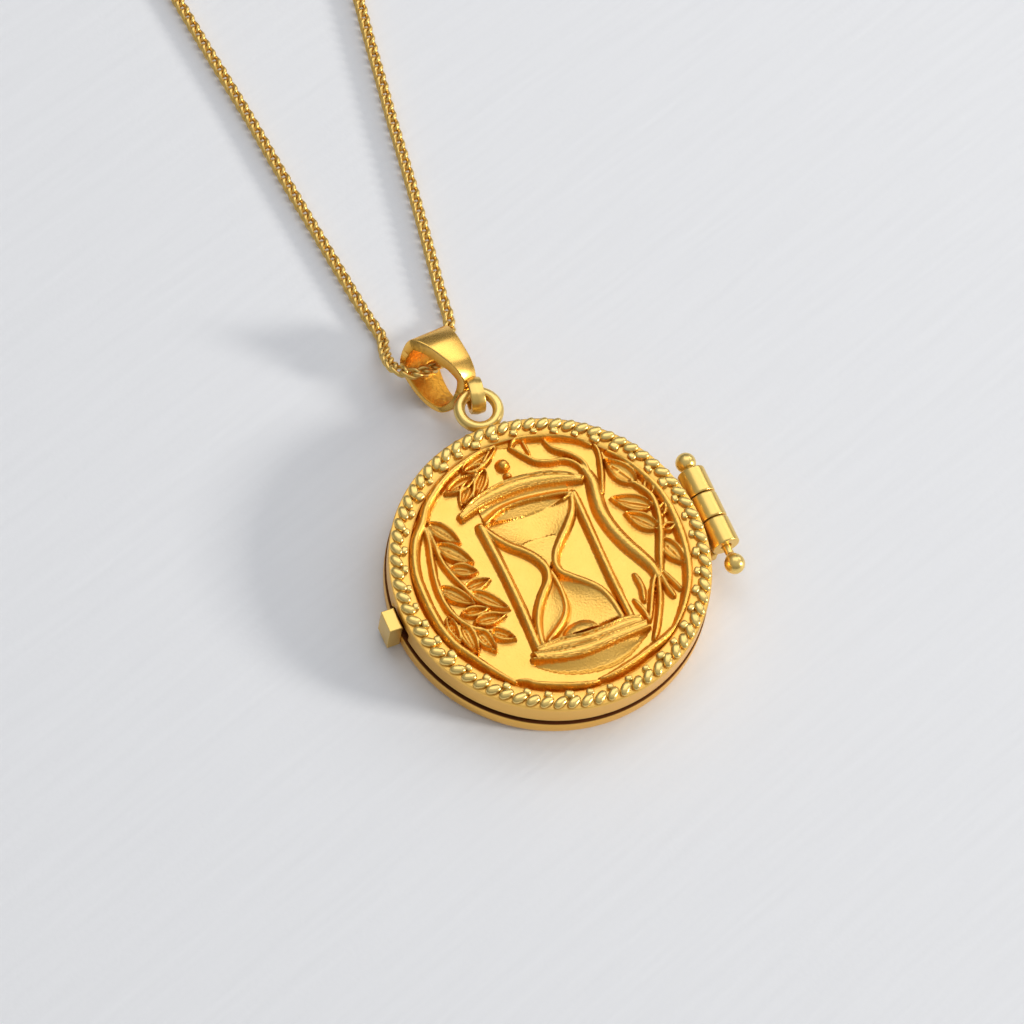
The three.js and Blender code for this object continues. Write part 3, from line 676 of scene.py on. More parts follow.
class LOCKET_OT_chain(bpy.types.Operator):
    """Lays the curb chain through the bail and coils what is left of it"""

    bl_idname = "locket.chain"
    bl_label = "Curb chain"

    def execute(self, context):
        sizes = context.scene.locket_sizes
        path = chain_path()
        guide = bpy.data.meshes.new("chain_guide")
        guide.from_pydata((path * MM).tolist(), [(i, i + 1) for i in range(len(path) - 1)], [])
        graph, given, outlet = geometry_graph("curb_chain", [
            ("Links", "NodeSocketInt"), ("Half length", "NodeSocketFloat"),
            ("Half width", "NodeSocketFloat"),
            ("Wire", "NodeSocketFloat"), ("Twist", "NodeSocketFloat")])
        circle = graph.add("GeometryNodeCurvePrimitiveCircle", {"mode": "RADIUS"},
                           {"Resolution": 14, "Radius": 1.0})
        where = graph.node("ShaderNodeSeparateXYZ", inputs={0: graph.add("GeometryNodeInputPosition")})
        x, y = (Value(graph, where.outputs[k]) for k in (0, 1))
        bent = graph.add("ShaderNodeCombineXYZ", inputs={
            0: x * given["Half length"], 1: y * given["Half width"], 2: x * y * 2 * given["Twist"]})
        oval = graph.add("GeometryNodeSetPosition", inputs={"Geometry": circle, "Position": bent})
        wire = graph.add("GeometryNodeCurvePrimitiveCircle", {"mode": "RADIUS"},
                         {"Resolution": 6, "Radius": given["Wire"]})
        link = graph.add("GeometryNodeCurveToMesh", inputs={"Curve": oval, "Profile Curve": wire})
        curve = graph.add("GeometryNodeMeshToCurve", inputs={"Mesh": given["Geometry"]})
        spots = graph.node("GeometryNodeCurveToPoints", {"mode": "COUNT"},
                           {"Curve": curve, "Count": given["Links"]})
        along = graph.add("FunctionNodeAlignRotationToVector", {"axis": "X"},
                          {"Vector": Value(graph, spots.outputs["Tangent"])})
        upright = graph.add("FunctionNodeAlignRotationToVector", {"axis": "Z", "pivot_axis": "X"},
                            {"Rotation": along, "Vector": (0, 0, 1)})
        placed = graph.add("GeometryNodeInstanceOnPoints", inputs={
            "Points": Value(graph, spots.outputs["Points"]), "Instance": link, "Rotation": upright})
        close_graph(graph, outlet, placed, material("chain_gold"))
        wire_radius = sizes.link_wire
        chain = grown("curb_chain", guide, graph, {
            "Links": round(line_length(path) * MM / sizes.link_pitch), "Wire": wire_radius,
            "Half length": sizes.link_pitch / 2 + 1.15 * wire_radius,
            "Half width": CHAIN_WIDTH * MM / 2 - wire_radius, "Twist": sizes.link_twist})
        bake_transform(chain)
        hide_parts("chain_left_run", "chain_in_bail", "chain_right_run", "chain_coil",
                    "chain_clasp_end", "chain_ring_end")
        return {"FINISHED"}


# ---- the stage ----
class LOCKET_OT_stage(bpy.types.Operator):
    """Sets up the camera, the painted board and the studio light"""

    bl_idname = "locket.stage"
    bl_label = "Studio"

    def execute(self, context):
        add_camera(context)
        add_board()
        add_lights(context)
        return {"FINISHED"}


def add_camera(context):
    """A long lens above and in front of the locket."""
    azimuth, elevation, roll, distance = (math.radians(-36.64), math.radians(63.23), math.radians(14.74), 0.3)
    back = Vector((math.sin(azimuth) * math.cos(elevation), -math.cos(azimuth) * math.cos(elevation),
                   math.sin(elevation)))
    right = (-back).cross(Vector((0, 0, 1))).normalized()
    up = right.cross(-back)
    side = right * math.cos(roll) + up * math.sin(roll)
    above = up * math.cos(roll) - right * math.sin(roll)
    camera = bpy.data.objects.new("camera", bpy.data.cameras.new("camera"))
    context.scene.collection.objects.link(camera)
    turn = Matrix((side, above, back)).transposed().to_4x4()
    camera.matrix_world = Matrix.Translation(back * distance) @ turn
    camera.data.sensor_width = 36
    camera.data.lens = 154.8
    camera.data.shift_x, camera.data.shift_y = -0.0321, 0.0711
    camera.data.clip_start, camera.data.clip_end = 0.01, 10
    context.scene.camera = camera


def add_board():
    """The board that everything lies on."""
    reach = 600
    board = new_piece("board", [(-reach, -reach, -0.02), (reach, -reach, -0.02), (reach, reach, -0.02),
                                (-reach, reach, -0.02)], [[0, 1, 2, 3]])
    board.data.materials.append(board_finish())


def add_light(context, name, place, target, size, power, colour=(1, 1, 1)):
    """An area light at a place, aimed at a target."""
    lamp = bpy.data.lights.new(name, "AREA")
    lamp.shape, lamp.size, lamp.size_y = "RECTANGLE", size[0], size[1]
    lamp.energy, lamp.color = power, colour
    light = bpy.data.objects.new(name, lamp)
    context.scene.collection.objects.link(light)
    light.location = place
    light.rotation_mode = "QUATERNION"
    light.rotation_quaternion = (Vector(target) - Vector(place)).to_track_quat("-Z", "Y")


def add_lights(context):
    """A low key light from the right, a broad soft one above, and a pale room."""
    context.scene.view_settings.view_transform = "Standard"
    add_light(context, "key", (0.64, -0.397, 0.268), (0, 0.004, 0), (0.12, 0.12), 4.2, (1, 0.965, 0.91))
    add_light(context, "above", (0.13, 0.24, 0.50), (0, 0, 0), (0.56, 0.42), 0.85, (0.99, 0.985, 1))
    add_light(context, "side", (0.49, 0.20, 0.30), (0, 0, 0), (0.32, 0.24), 0.42, (1, 0.985, 0.96))
    world = bpy.data.worlds.new("room")
    world.use_nodes = True
    context.scene.world = world
    graph = Graph(world.node_tree)
    towards = graph.add("ShaderNodeTexCoord", output="Generated")
    height = graph.node("ShaderNodeSeparateXYZ", inputs={0: towards})
    sky = graph.node("ShaderNodeValToRGB", {"stops": [(0.0, (0.09, 0.09, 0.10)), (0.92, (0.80, 0.81, 0.83))]},
                     {0: Value(graph, height.outputs[2])})
    background = world.node_tree.nodes["Background"]
    graph.tree.links.new(sky.outputs[0], background.inputs["Color"])
    background.inputs["Strength"].default_value = 0.66


# ---- the shells ----
class LOCKET_OT_shells(bpy.types.Operator):
    """Turns the back shell and the cover's wall"""

    bl_idname = "locket.shells"
    bl_label = "Shells"

    def execute(self, context):
        edge = [(BACK_RADIUS - WALL + WALL * math.sin(a), WALL - WALL * math.cos(a))
                for a in np.linspace(0, math.pi / 2, 10)]
        lip = [(BACK_RADIUS, BACK_HEIGHT - 0.12), (BACK_RADIUS - 0.04, BACK_HEIGHT - 0.03),
               (BACK_RADIUS - 0.12, BACK_HEIGHT), (CAVITY_RADIUS + 0.1, BACK_HEIGHT),
               (CAVITY_RADIUS, BACK_HEIGHT - 0.1), (CAVITY_RADIUS, WALL + 0.15),
               (CAVITY_RADIUS - 0.15, WALL)]
        back = new_piece("back_shell_turned", *turned([(0, 0)] + edge + lip + [(0, WALL)], 160))
        # The back's upper lip takes painted shade in the seam.
        self.seam_shade(back, lambda r, z: (z > BACK_HEIGHT - 0.06) & (r > CAVITY_RADIUS - 0.05)
                     & (r < BACK_RADIUS))
        dress(back, "locket_back", "satin_gold", material("shell_gold"), "back_shell")
        vertices, faces = turned(self.cover_outline(), 200)
        across = np.hypot(vertices[:, 0], vertices[:, 1])
        notch = np.clip(1.25 - np.abs(vertices[:, 1]), 0, 0.2) / 0.2 * (vertices[:, 0] < 0) * (across > 10.7)
        notch *= np.clip(COVER_BOTTOM + 0.85 - vertices[:, 2], 0, 0.2) / 0.2
        vertices[:, :2] *= (1 - 0.3 * notch / COVER_RADIUS)[:, None]
        cover = new_piece("cover_wall", vertices, faces)
        # The cover's lower lip takes painted shade in the seam.
        self.seam_shade(cover, lambda r, z: (z < COVER_BOTTOM + 0.06) & (r > CAVITY_RADIUS))
        dress(cover, "cover", "satin_gold", material("shell_gold"))
        return {"FINISHED"}

    @staticmethod
    def seam_shade(shell, where):
        """Marks the points of a shell that lie in the seam, which take painted shade."""
        points = np.array([v.co for v in shell.data.vertices]) / MM
        mask = shell.data.attributes.new("seam", "FLOAT", "POINT")
        inside = where(np.hypot(points[:, 0], points[:, 1]), points[:, 2])
        mask.data.foreach_set("value", inside.astype(np.float32))

    @staticmethod
    def cover_outline():
        """The cover's section: its plate, its wall and the raised rim round the face."""
        wall = [(COVER_RADIUS, z) for z in np.linspace(COVER_BOTTOM + 0.1, RIM_TOP - 0.1, 12)]
        inner = RIM_TOP - WALL
        return ([(0, inner), (CAVITY_RADIUS - 0.15, inner), (CAVITY_RADIUS, inner - 0.15),
                 (CAVITY_RADIUS, COVER_BOTTOM + 0.08), (CAVITY_RADIUS + 0.08, COVER_BOTTOM),
                 (COVER_RADIUS - 0.1, COVER_BOTTOM), (COVER_RADIUS - 0.03, COVER_BOTTOM + 0.03)] + wall
                + [(COVER_RADIUS - 0.03, RIM_TOP - 0.03), (COVER_RADIUS - 0.1, RIM_TOP),
                   (FIELD_RADIUS + 0.16, RIM_TOP), (FIELD_RADIUS + 0.04, RIM_TOP - 0.06),
                   (FIELD_RADIUS - 0.02, FIELD_FLOOR - 0.04), (0, FIELD_FLOOR - 0.04)])


# ---- the relief ----
class Relief:
    """A height field over the face that raised shapes are drawn on."""

    def __init__(self, cells):
        steps = np.linspace(-1, 1, cells + 1)
        a, b = (m.ravel() for m in np.meshgrid(steps, steps, indexing="ij"))
        wide = np.abs(a) > np.abs(b)
        longer = np.where(wide, a, b)
        shorter = np.where(wide, b, a)
        turn = np.pi / 4 * shorter / np.where(longer == 0, 1, longer)
        angle = np.where(wide, turn, np.pi / 2 - turn)
        self.cells = cells
        self.points = np.column_stack([longer * np.cos(angle), longer * np.sin(angle)]) * FIELD_RADIUS
        self.height = np.zeros(len(self.points))

    def near(self, line, reach):
        """The points within reach of a line's box."""
        line = np.asarray(line)
        low, high = line.min(0) - reach, line.max(0) + reach
        return np.nonzero(np.all((self.points > low) & (self.points < high), axis=1))[0]

    def distance(self, line, reach):
        """The points near a line, how far off each is, and its nearest place as a share of the line."""
        at = self.near(line, reach)
        points = self.points[at]
        gap, share = np.full(len(at), 1e9), np.zeros(len(at))
        lengths = np.linalg.norm(np.diff(line, axis=0), axis=1)
        run = 0
        for start, end, length in zip(line[:-1], line[1:], lengths):
            along = np.clip((points - start) @ (end - start) / length ** 2, 0, 1)
            off = np.linalg.norm(points - start - along[:, None] * (end - start), axis=1)
            closer = off < gap
            gap[closer] = off[closer]
            share[closer] = (run + along[closer] * length) / lengths.sum()
            run += length
        return at, gap, share

    def inside(self, outline):
        """The points inside a closed outline."""
        at = self.near(outline, 0)
        x, y = self.points[at].T
        within = np.zeros(len(at), bool)
        for (x1, y1), (x2, y2) in zip(outline, np.roll(outline, -1, axis=0)):
            if y1 != y2:
                within ^= ((y1 > y) != (y2 > y)) & (x < (x2 - x1) * (y - y1) / (y2 - y1) + x1)
        return at[within]

    def raise_to(self, at, height):
        self.height[at] = np.maximum(self.height[at], height)

    def ridge(self, points, half, height, taper=0.0):
        """A rounded ridge along a curve, narrower towards its ends where it tapers."""
        line = smooth_line(points, 6)
        at, gap, share = self.distance(line, half * 1.8)
        ends = 1 - taper * (2 * np.abs(share - 0.5)) ** 4
        flank = np.clip(1 - (gap / (half * 1.6 * ends)) ** 2.0, 0, 1) ** 0.8
        self.raise_to(at, height * flank * (0.6 + 0.4 * ends))

    def knob(self, centre, radius, height):
        at = self.near([centre], radius)
        off = np.linalg.norm(self.points[at] - np.array(centre), axis=1) / radius
        self.raise_to(at, height * np.clip(1 - off ** 2, 0, 1) ** 0.5)

    def leaf(self, base, tip, half):
        """A hollow leaf with a raised rim and a fine vein."""
        base, tip = np.array(base), np.array(tip)
        length = np.linalg.norm(tip - base)
        axis = (tip - base) / length
        at = self.near([base, tip], half + 0.3)
        off = self.points[at] - base
        along = np.clip(off @ axis / length, 0, 1)
        across = np.abs(off @ np.array([-axis[1], axis[0]]))
        beyond = np.maximum(off @ axis - length, 0) + np.maximum(-(off @ axis), 0)
        width = half * np.sin(np.pi * np.clip(along, 0.0, 1) ** 0.8) ** 0.85
        edge = width - across
        gap = np.hypot(edge, beyond)
        slim = 0.13 * (0.5 + 0.5 * np.sin(np.pi * np.clip(along, 0.03, 0.97)))
        rim = 0.55 * np.clip(1 - (gap / (slim * 1.25)) ** 2.4, 0, 1) ** 0.6
        bowl = np.where((edge > 0) & (beyond == 0), 0.2 + 0.16 * (across / np.maximum(width, 0.05)) ** 2, 0)
        vein = np.where(edge > 0.05, 0.34 * np.clip(1 - (across / 0.06) ** 2, 0, 1), 0)
        self.raise_to(at, np.maximum(np.maximum(rim, bowl), vein))

    def band(self, lower, upper, profile, upright=False):
        """What lies between two lines takes a height from its share of the way from one to the other."""
        lower, upper = smooth_line(lower, 8), smooth_line(upper, 8)
        at = self.near(np.concatenate([lower, upper]), 0)
        x, y = self.points[at].T
        if upright:
            x, y = -y, x
            lower, upper = (np.column_stack([-line[:, 1], line[:, 0]]) for line in (lower, upper))
        low, high = np.interp(x, *lower.T), np.interp(x, *upper.T)
        share = (y - low) / np.maximum(high - low, 1e-6)
        left, right = max(lower[0, 0], upper[0, 0]), min(lower[-1, 0], upper[-1, 0])
        keep = (share > 0) & (share < 1) & (x > left) & (x < right)
        self.height[at[keep]] = profile(share[keep])

    def shell(self, floor, base):
        """The face as a closed disc: its relief above, flat below."""
        size = self.cells + 1
        top = np.column_stack([self.points, floor + self.height * RELIEF_SCALE])
        index = np.arange(size * size).reshape(size, size)
        faces = np.stack([index[:-1, :-1], index[1:, :-1], index[1:, 1:], index[:-1, 1:]], -1).reshape(-1, 4)
        rim = np.concatenate([index[:-1, 0], index[-1, :-1], index[:0:-1, -1], index[0, :0:-1]])
        under = top[rim]
        under[:, 2] = base
        count = len(rim)
        lower = np.arange(count) + len(top)
        wall = np.column_stack([rim, lower, np.roll(lower, -1), np.roll(rim, -1)])
        return np.concatenate([top, under]), faces.tolist() + wall.tolist() + [lower[::-1].tolist()]


def draw_hourglass(relief):
    """The hourglass: its two caps seen from below and above, its bulb, its sand and its posts."""
    for shapes, profiles in (
        (CAP_LINES, (lambda s: 0.12 + 0.2 * s, lambda s: 0.56 - 0.3 * np.sin(np.pi * s),
                     lambda s: 0.5 + 0.13 * np.sin(np.pi * s))),
        (BASE_LINES, (lambda s: 0.02 + 0.34 * s ** 1.6, lambda s: 0.5 + 0.1 * np.sin(np.pi * s),
                      lambda s: 0.46 + 0.12 * np.sin(np.pi * s))),
    ):
        for lower, upper, profile in zip(shapes[:-1], shapes[1:], profiles):
            relief.band(lower, upper, profile)
    for line in CAP_LINES + BASE_LINES[1:]:
        relief.ridge(line, 0.13, 0.65)
    relief.band(BULB_LEFT[:6], BULB_RIGHT[:6], lambda s: 0.06 + 0.4 * np.abs(2 * s - 1) ** 1.5, upright=True)
    above = relief.inside(smooth_line(SAND_ABOVE, 4, closed=True))
    relief.height[above] = 0.5 - 0.2 * np.clip((relief.points[above, 1] + 0.4) / 2.2, 0, 1)
    relief.band(BULB_LEFT[5:], BULB_FOLD, lambda s: 0.12 + 0.3 * s ** 2, upright=True)
    relief.band(BULB_FOLD, BULB_RIGHT[5:], lambda s: 0.02 + 0.5 * s ** 1.5, upright=True)
    heap = relief.near([(-1.6, -5.5), (1.6, -4.7)], 0.0)
    off = np.hypot(relief.points[heap, 0] / 1.5, (relief.points[heap, 1] + 5.6) / 1.0)
    relief.raise_to(heap, 0.52 * np.clip(1 - off ** 2, 0, 1) ** 0.6)
    for line in (BULB_LEFT, BULB_RIGHT):
        relief.ridge(line, 0.24, 0.62, taper=0.1)
    relief.ridge(BULB_FOLD, 0.18, 0.52, taper=0.3)
    for line, half in POSTS:
        relief.ridge(line, half, 0.6)
    for centre, radius, height in KNOBS:
        relief.knob(centre, radius, height)


class LOCKET_OT_face(bpy.types.Operator):
    """Casts the face: vine, stems, leaves and hourglass"""

    bl_idname = "locket.face"
    bl_label = "Relief"

    def execute(self, context):
        relief = Relief(context.scene.locket_sizes.relief_cells)
        boundary = np.concatenate([VINE_LEFT[::-1], VINE_TOP, VINE_RIGHT, VINE_LOW_RIGHT, VINE_LOW])
        relief.height[relief.inside(boundary)] = FIELD_STEP
        for line, half, height in STEMS:
            relief.ridge(line, half, height, taper=0.35)
        for base, tip, half in LEAVES:
            relief.leaf(base, tip, half)
        draw_hourglass(relief)
        for line, half in VINES:
            relief.ridge(line, half, 0.64, taper=0.5)
        face = new_piece("cover_relief", *relief.shell(FIELD_FLOOR, FIELD_FLOOR - 0.1), sharp=75)
        # Steep flanks and the low floor are marked as hollows, which the face's material darkens as painted
        # shade.
        hollow = face.data.attributes.new("hollow", "FLOAT", "POINT")
        heights = np.array([v.co.z for v in face.data.vertices]) / MM - FIELD_FLOOR
        flanks = 1 - np.abs([v.normal.z for v in face.data.vertices])
        value = np.clip(1.5 * flanks + 0.5 * (heights < 0.06), 0, 1)
        hollow.data.foreach_set("value", value.astype(np.float32))
        dress(face, "cover", "satin_gold", material("face_gold"), "front_cover")
        return {"FINISHED"}


class LOCKET_OT_borders(bpy.types.Operator):
    """Lays the rope and the beads round the rim"""

    bl_idname = "locket.borders"
    bl_label = "Rope and beads"

    def execute(self, context):
        sizes = context.scene.locket_sizes
        rope = self.ring("rope_strands", 10.47, RIM_TOP + 0.17, sizes.rope_turns, (0.39, 0.65, 0.31),
                         sizes.rope_slant, 0.02, 0.12, 3)
        dress(rope, "cover", "polished_gold", material("polished_gold"), "rope_border")
        beads = self.ring("rim_beads", 9.93, RIM_TOP + 0.12, sizes.bead_count, (0.25, 0.31, 0.27),
                          -0.25, 0.25, 0.3, 8)
        dress(beads, "cover", "polished_gold", material("polished_gold"), "bead_border")
        return {"FINISHED"}

    @staticmethod
    def ring(name, radius, height, count, half, slant, uneven, blockiness, seed):
        """Bumps round a circle, each a soft-edged block that leans along the rim."""
        graph, given, outlet = geometry_graph(name, [
            ("Count", "NodeSocketInt"), ("Radius", "NodeSocketFloat"), ("Height", "NodeSocketFloat"),
            ("Slant", "NodeSocketFloat"), ("Half", "NodeSocketVector"), ("Unevenness", "NodeSocketFloat"),
            ("Blockiness", "NodeSocketFloat"), ("Seed", "NodeSocketInt")])
        circle = graph.add("GeometryNodeMeshCircle",
                           inputs={"Vertices": given["Count"], "Radius": given["Radius"]})
        drop = graph.add("ShaderNodeCombineXYZ", inputs={2: given["Height"]})
        lifted = graph.add("GeometryNodeTransform", inputs={"Geometry": circle, "Translation": drop})
        cube = graph.add("GeometryNodeMeshCube", inputs={"Size": (2.0, 2.0, 2.0)})
        soft = graph.add("GeometryNodeSubdivisionSurface",
                         inputs={"Mesh": cube, "Level": 2, 2: given["Blockiness"]})
        lean = graph.add("ShaderNodeCombineXYZ", inputs={2: given["Slant"]})
        squashed = graph.add("GeometryNodeTransform", inputs={"Geometry": soft, "Scale": given["Half"]})
        bump = graph.add("GeometryNodeTransform", inputs={"Geometry": squashed, "Rotation": lean})
        flat = graph.add("ShaderNodeVectorMath", {"operation": "MULTIPLY"},
                         {0: graph.add("GeometryNodeInputPosition"), 1: (1, 1, 0)})
        outward = graph.add("FunctionNodeAlignRotationToVector", {"axis": "X", "pivot_axis": "Z"},
                            {"Vector": flat})
        least, most = 1.0 - given["Unevenness"], 1.0 + given["Unevenness"]
        scatter = graph.add("FunctionNodeRandomValue", {"data_type": "FLOAT"},
                            {2: least, 3: most, 8: given["Seed"]}, output=1)
        placed = graph.add("GeometryNodeInstanceOnPoints", inputs={
            "Points": lifted, "Instance": bump, "Rotation": outward, "Scale": scatter})
        close_graph(graph, outlet, placed, material("polished_gold"))
        return grown(name, bpy.data.meshes.new(name + "_guide"), graph, {
            "Count": count, "Radius": radius * MM, "Height": height * MM, "Slant": slant,
            "Half": tuple(h * MM for h in half), "Unevenness": uneven, "Blockiness": blockiness,
            "Seed": seed})


# ---- hinge and catch ----
class LOCKET_OT_hinge(bpy.types.Operator):
    """Makes the three barrels, the pin and its balls"""

    bl_idname = "locket.hinge"
    bl_label = "Hinge"

    def execute(self, context):
        for node, body in (("hinge_barrel_upper", "locket_back"), ("hinge_barrel_lower", "locket_back"),
                           ("hinge_barrel_cover", "cover")):
            low, high = corners(node)
            radius = high[0] - HINGE[0]
            bore, edge = 0.37, 0.09
            outline = rounded([(bore, low[1]), (radius, low[1]), (radius, high[1]), (bore, high[1])], edge, 5)
            barrel = along_y(turned(outline, 96), (HINGE[0], 0, HINGE[2]))
            web_low, web_high = (0.75, 1.65) if body == "locket_back" else (1.95, 2.6)
            web = slab((BACK_RADIUS + 0.08, low[1] + 0.02, web_low),
                       (HINGE[0] - 0.45, high[1] - 0.02, web_high), 0.08)
            piece = fused(node + "_cast", joined(barrel, web), 0.05, 4)
            dress(piece, body, "satin_gold", material("satin_gold"), node)
        low, high = corners("hinge_pin")
        radius = (high[0] - low[0]) / 2
        outline = [(0, low[1])] + [(radius, low[1] + 0.02), (radius, high[1] - 0.02)] + [(0, high[1])]
        pin = new_piece("hinge_pin_turned", *along_y(turned(outline, 48), (HINGE[0], 0, HINGE[2])))
        dress(pin, "pin", "polished_gold", material("polished_gold"), "hinge_pin")
        for node, towards in (("pin_ball_upper", -1), ("pin_ball_lower", 1)):
            low, high = corners(node)
            centre, radius = (low + high) / 2, (high[1] - low[1]) / 2
            neck = rounded([(0.28, 0), (0.5, 0), (0.42, 0.3), (0.28, 0.3)], 0.06)
            neck[:, 1] = centre[1] + towards * (radius - 0.22 + neck[:, 1] * 0.4)
            shell = joined(ball(centre, radius), along_y(turned(neck, 48), (HINGE[0], 0, HINGE[2])))
            turned_ball = new_piece(node + "_turned", *shell)
            dress(turned_ball, "pin", "polished_gold", material("polished_gold"), node)
        return {"FINISHED"}


class LOCKET_OT_catch(bpy.types.Operator):
    """Makes the catch block"""

    bl_idname = "locket.catch"
    bl_label = "Catch"

    def execute(self, context):
        catch = fused("catch_block_cast", shell_of("catch_block"), 0.04, 5)
        dress(catch, "locket_back", "satin_gold", material("satin_gold"), "catch_block")
        return {"FINISHED"}


# ---- loop, bail and eye ----
class LOCKET_OT_loop(bpy.types.Operator):
    """Makes the soldered pendant loop"""

    bl_idname = "locket.loop"
    bl_label = "Pendant loop"

    def execute(self, context):
        low, high = corners("pendant_loop")
        wire = 0.4
        middle = (low[0] + high[0]) / 2
        radius = (high[0] - low[0]) / 2 - wire
        centre = np.array([middle, high[1] - wire - radius, high[2] - wire])
        section = [(radius + wire * math.cos(a), wire * math.sin(a))
                   for a in np.linspace(0, 2 * math.pi, 24, endpoint=False)]
        ring_vertices, ring_faces = turned(section, 96)
        foot = slab((middle - 0.62, BACK_RADIUS + 0.06, low[2]),
                    (middle + 0.62, BACK_RADIUS + 0.75, centre[2]), 0.16)
        loop = fused("pendant_loop_cast", joined((ring_vertices + centre, ring_faces), foot), 0.045, 5)
        dress(loop, "locket_back", "polished_gold", material("polished_gold"), "pendant_loop")
        return {"FINISHED"}


BAIL_TIP = np.array([-1.2, 14.1, 0.2])
BAIL_LENGTH, BAIL_DEPTH = 5.2, 4.0
BAIL_TOP_WIDTH, BAIL_TIP_WIDTH = 3.6, 0.95
BAIL_FRONT_WALL, BAIL_BACK_WALL = 0.85, 0.45
BAIL_LEAN, BAIL_ROLL, BAIL_PITCH = 13, 22, 6
# along and through, as shares of its length and depth, from the tip round by the front
BAIL_OUTLINE = [(0.34, 0.96), (0.5, 1.0), (0.8, 0.98), (0.98, 0.83), (0.98, 0.5), (0.87, 0.18), (0.6, 0.02),
                (0.28, 0.0), (0.07, 0.1), (0.0, 0.3), (0.05, 0.58), (0.16, 0.83)]
BAIL_TIP_SHIFT = 1.1         # how far the front's narrow end leans over to the eye


class LOCKET_OT_bail(bpy.types.Operator):
    """Bends the tapered bail and the eye that joins it to the loop"""

    bl_idname = "locket.bail"
    bl_label = "Bail"

    def execute(self, context):
        vertices, faces, hollow = self.bail_shell()
        bail = new_piece("bail_bent", vertices, faces, sharp=60)
        # Through this mask the inside of the band takes painted shade as well as coarser grain.
        mask = bail.data.attributes.new("hollow", "FLOAT", "POINT")
        mask.data.foreach_set("value", hollow.astype(np.float32))
        dress(bail, "bail", "satin_gold", material("cast_gold"), "bail")
        eye = new_piece("bail_eye_bent", *self.eye_shell(), sharp=60)
        dress(eye, "bail", "satin_gold", material("satin_gold"), "bail_eye")
        return {"FINISHED"}

    @staticmethod
    def bail_shell():
        """The band: an oval path with a section that is wider and thicker at the front."""
        path = smooth_line(np.array(BAIL_OUTLINE) * (BAIL_LENGTH, BAIL_DEPTH), 10, closed=True)
        ahead = np.roll(path, -1, axis=0) - np.roll(path, 1, axis=0)
        ahead /= np.linalg.norm(ahead, axis=1)[:, None]
        inward = np.column_stack([ahead[:, 1], -ahead[:, 0]])
        rings, hollow = [], []
        for (along, through), (na, nt) in zip(path, inward):
            share = max(along / BAIL_LENGTH, 0)
            half = (BAIL_TIP_WIDTH + (BAIL_TOP_WIDTH - BAIL_TIP_WIDTH) * share ** 1.15) / 2
            half += 0.45 * max(0, 1 - through / (0.6 * BAIL_DEPTH)) * (1 - share)
            thick = BAIL_BACK_WALL + (BAIL_FRONT_WALL - BAIL_BACK_WALL) * through / BAIL_DEPTH
            section = rounded([(-half, 0), (half, 0), (half, thick), (-half, thick)], 0.1, 3)
            section[:, 0] += BAIL_TIP_SHIFT * (1 - min(share, 1)) ** 2 * through / BAIL_DEPTH
            rings.append(np.column_stack([section[:, 0], along + na * section[:, 1],
                                          through + nt * section[:, 1]]))
            # The band's inside faces are marked as hollows: rough cast grain there, and a darker colour that
            # is painted shade.
            hollow.append(section[:, 1] > 0.85 * thick)
        vertices, faces = lofted(rings, closed=True)
        place = (Matrix.Rotation(math.radians(BAIL_LEAN), 3, "Z")
                 @ Matrix.Rotation(math.radians(BAIL_PITCH), 3, "X")
                 @ Matrix.Rotation(math.radians(BAIL_ROLL), 3, "Y"))
        return vertices @ np.array(place).T + BAIL_TIP, faces, np.concatenate(hollow)

    @staticmethod
    def eye_shell():
        """A flat band with a crowned outside, bent round the loop's wire."""
        inner, outer, reach, width = 0.7, 1.12, 0.45, 1.0
        side = np.array([BAIL_AXIS[0], BAIL_AXIS[1], 0])
        towards = np.array([-side[1], side[0], 0])
        rings = []
        for angle in np.linspace(0, 2 * math.pi, 72, endpoint=False):
            shift = -reach if math.sin(angle) < 0 else 0
            out = towards * math.sin(angle) + np.array([0, 0, 1]) * math.cos(angle)
            section = rounded([(-width / 2, inner), (width / 2, inner), (width / 2, outer - 0.08), (0, outer),
                               (-width / 2, outer - 0.08)], 0.07, 3)
            rings.append(BAIL_PIVOT + towards * shift + np.outer(section[:, 0], side)
                         + np.outer(section[:, 1], out))
        return lofted(rings, closed=True)


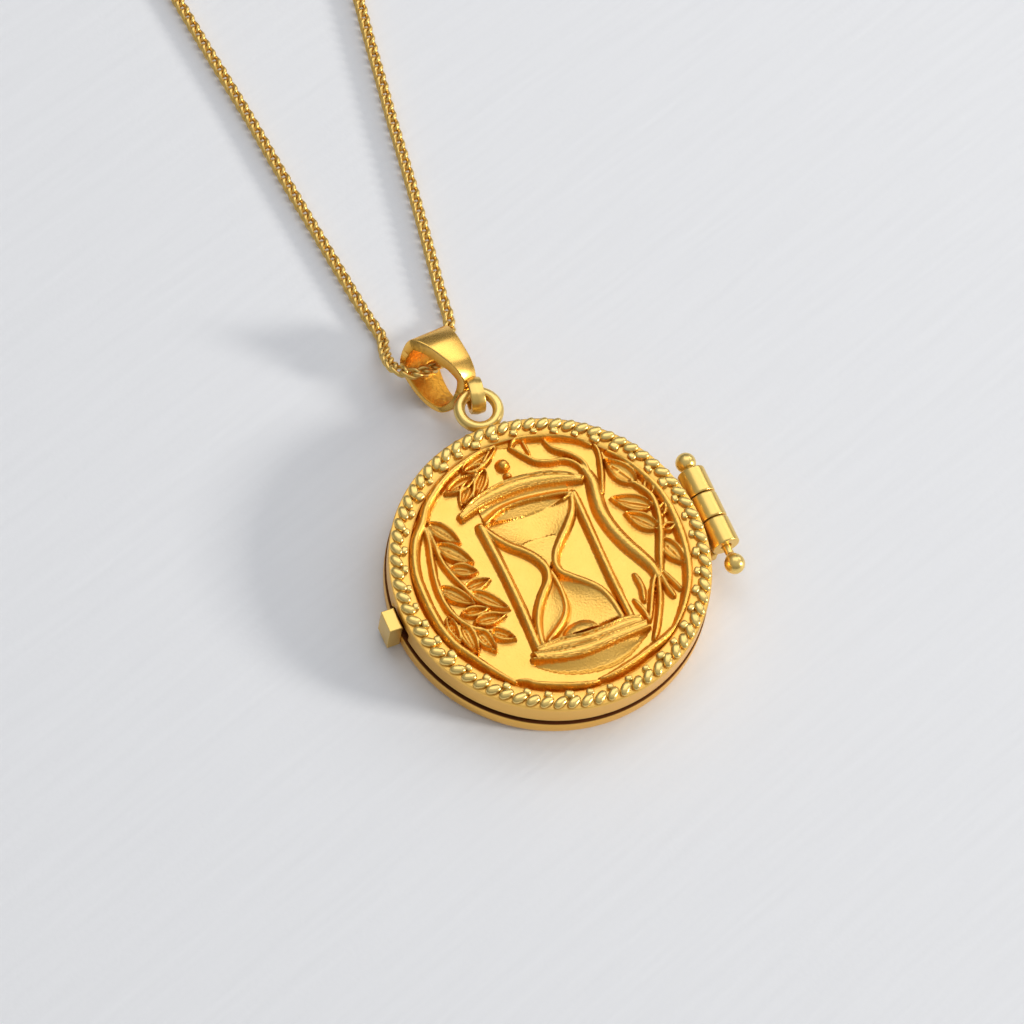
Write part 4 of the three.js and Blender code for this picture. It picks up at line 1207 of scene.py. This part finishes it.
# ---- inside ----
class LOCKET_OT_photo_rings(bpy.types.Operator):
    """Makes the rings and clear covers that hold the two photographs"""

    bl_idname = "locket.photo_rings"
    bl_label = "Photo rings"

    def execute(self, context):
        for half, body in (("back", "locket_back"), ("front", "cover")):
            low, high = corners("photo_ring_" + half)
            outer = high[0]
            inner = outer - 0.7
            outline = rounded([(inner, low[2]), (outer, low[2]), (outer, high[2]), (inner, high[2])], 0.12, 4)
            ring = new_piece(f"photo_ring_{half}_turned", *turned(outline, 128))
            dress(ring, body, "satin_gold", material("satin_gold"), "photo_ring_" + half)
            low, high = corners("photo_window_" + half)
            radius = high[0]
            outline = [(0, low[2]), (radius - 0.05, low[2]), (radius, low[2] + 0.05),
                       (radius, high[2] - 0.05), (radius - 0.05, high[2]), (0, high[2])]
            film = new_piece(f"photo_window_{half}_film", *turned(outline, 96))
            dress(film, body, "clear_acetate", material("clear_acetate"), "photo_window_" + half)
        return {"FINISHED"}


# ---- clasp ----
class LOCKET_OT_clasp(bpy.types.Operator):
    """Finishes the clasp and the rings on the chain's ends"""

    bl_idname = "locket.clasp"
    bl_label = "Clasp"

    def execute(self, context):
        for node in CHAIN_END_PIECES:
            cad = frame["nodes"][node]
            cad.data.materials.clear()
            cad.data.materials.append(material("spring_steel" if node == "clasp_spring" else "polished_gold"))
        return {"FINISHED"}


# ---- panel ----
OPERATORS = (LOCKET_OT_stage, LOCKET_OT_chain, LOCKET_OT_shells, LOCKET_OT_face, LOCKET_OT_borders,
             LOCKET_OT_hinge, LOCKET_OT_catch, LOCKET_OT_loop, LOCKET_OT_bail, LOCKET_OT_photo_rings,
             LOCKET_OT_clasp)


class LOCKET_PT_panel(bpy.types.Panel):
    """Lists the locket's sizes, finishes and pieces"""

    bl_idname = "LOCKET_PT_panel"
    bl_label = "Locket"
    bl_space_type = "VIEW_3D"
    bl_region_type = "UI"
    bl_category = "Locket"

    def draw(self, context):
        for group in (context.scene.locket_sizes, context.scene.locket_finishes):
            box = self.layout.box()
            for name in group.__annotations__:
                box.prop(group, name)
        for operator in OPERATORS:
            self.layout.operator(operator.bl_idname)


CLASSES = (LocketSizes, LocketFinishes, *OPERATORS, LOCKET_PT_panel)


def register():
    for made in CLASSES:
        bpy.utils.register_class(made)
    bpy.types.Scene.locket_sizes = PointerProperty(type=LocketSizes)
    bpy.types.Scene.locket_finishes = PointerProperty(type=LocketFinishes)


def unregister():
    del bpy.types.Scene.locket_finishes
    del bpy.types.Scene.locket_sizes
    for made in reversed(CLASSES):
        bpy.utils.unregister_class(made)


def main():
    """Builds the necklace and its studio."""
    register()
    for operator in OPERATORS:
        group, name = operator.bl_idname.split(".")
        getattr(getattr(bpy.ops, group), name)()


if __name__ == "__main__":
    main()
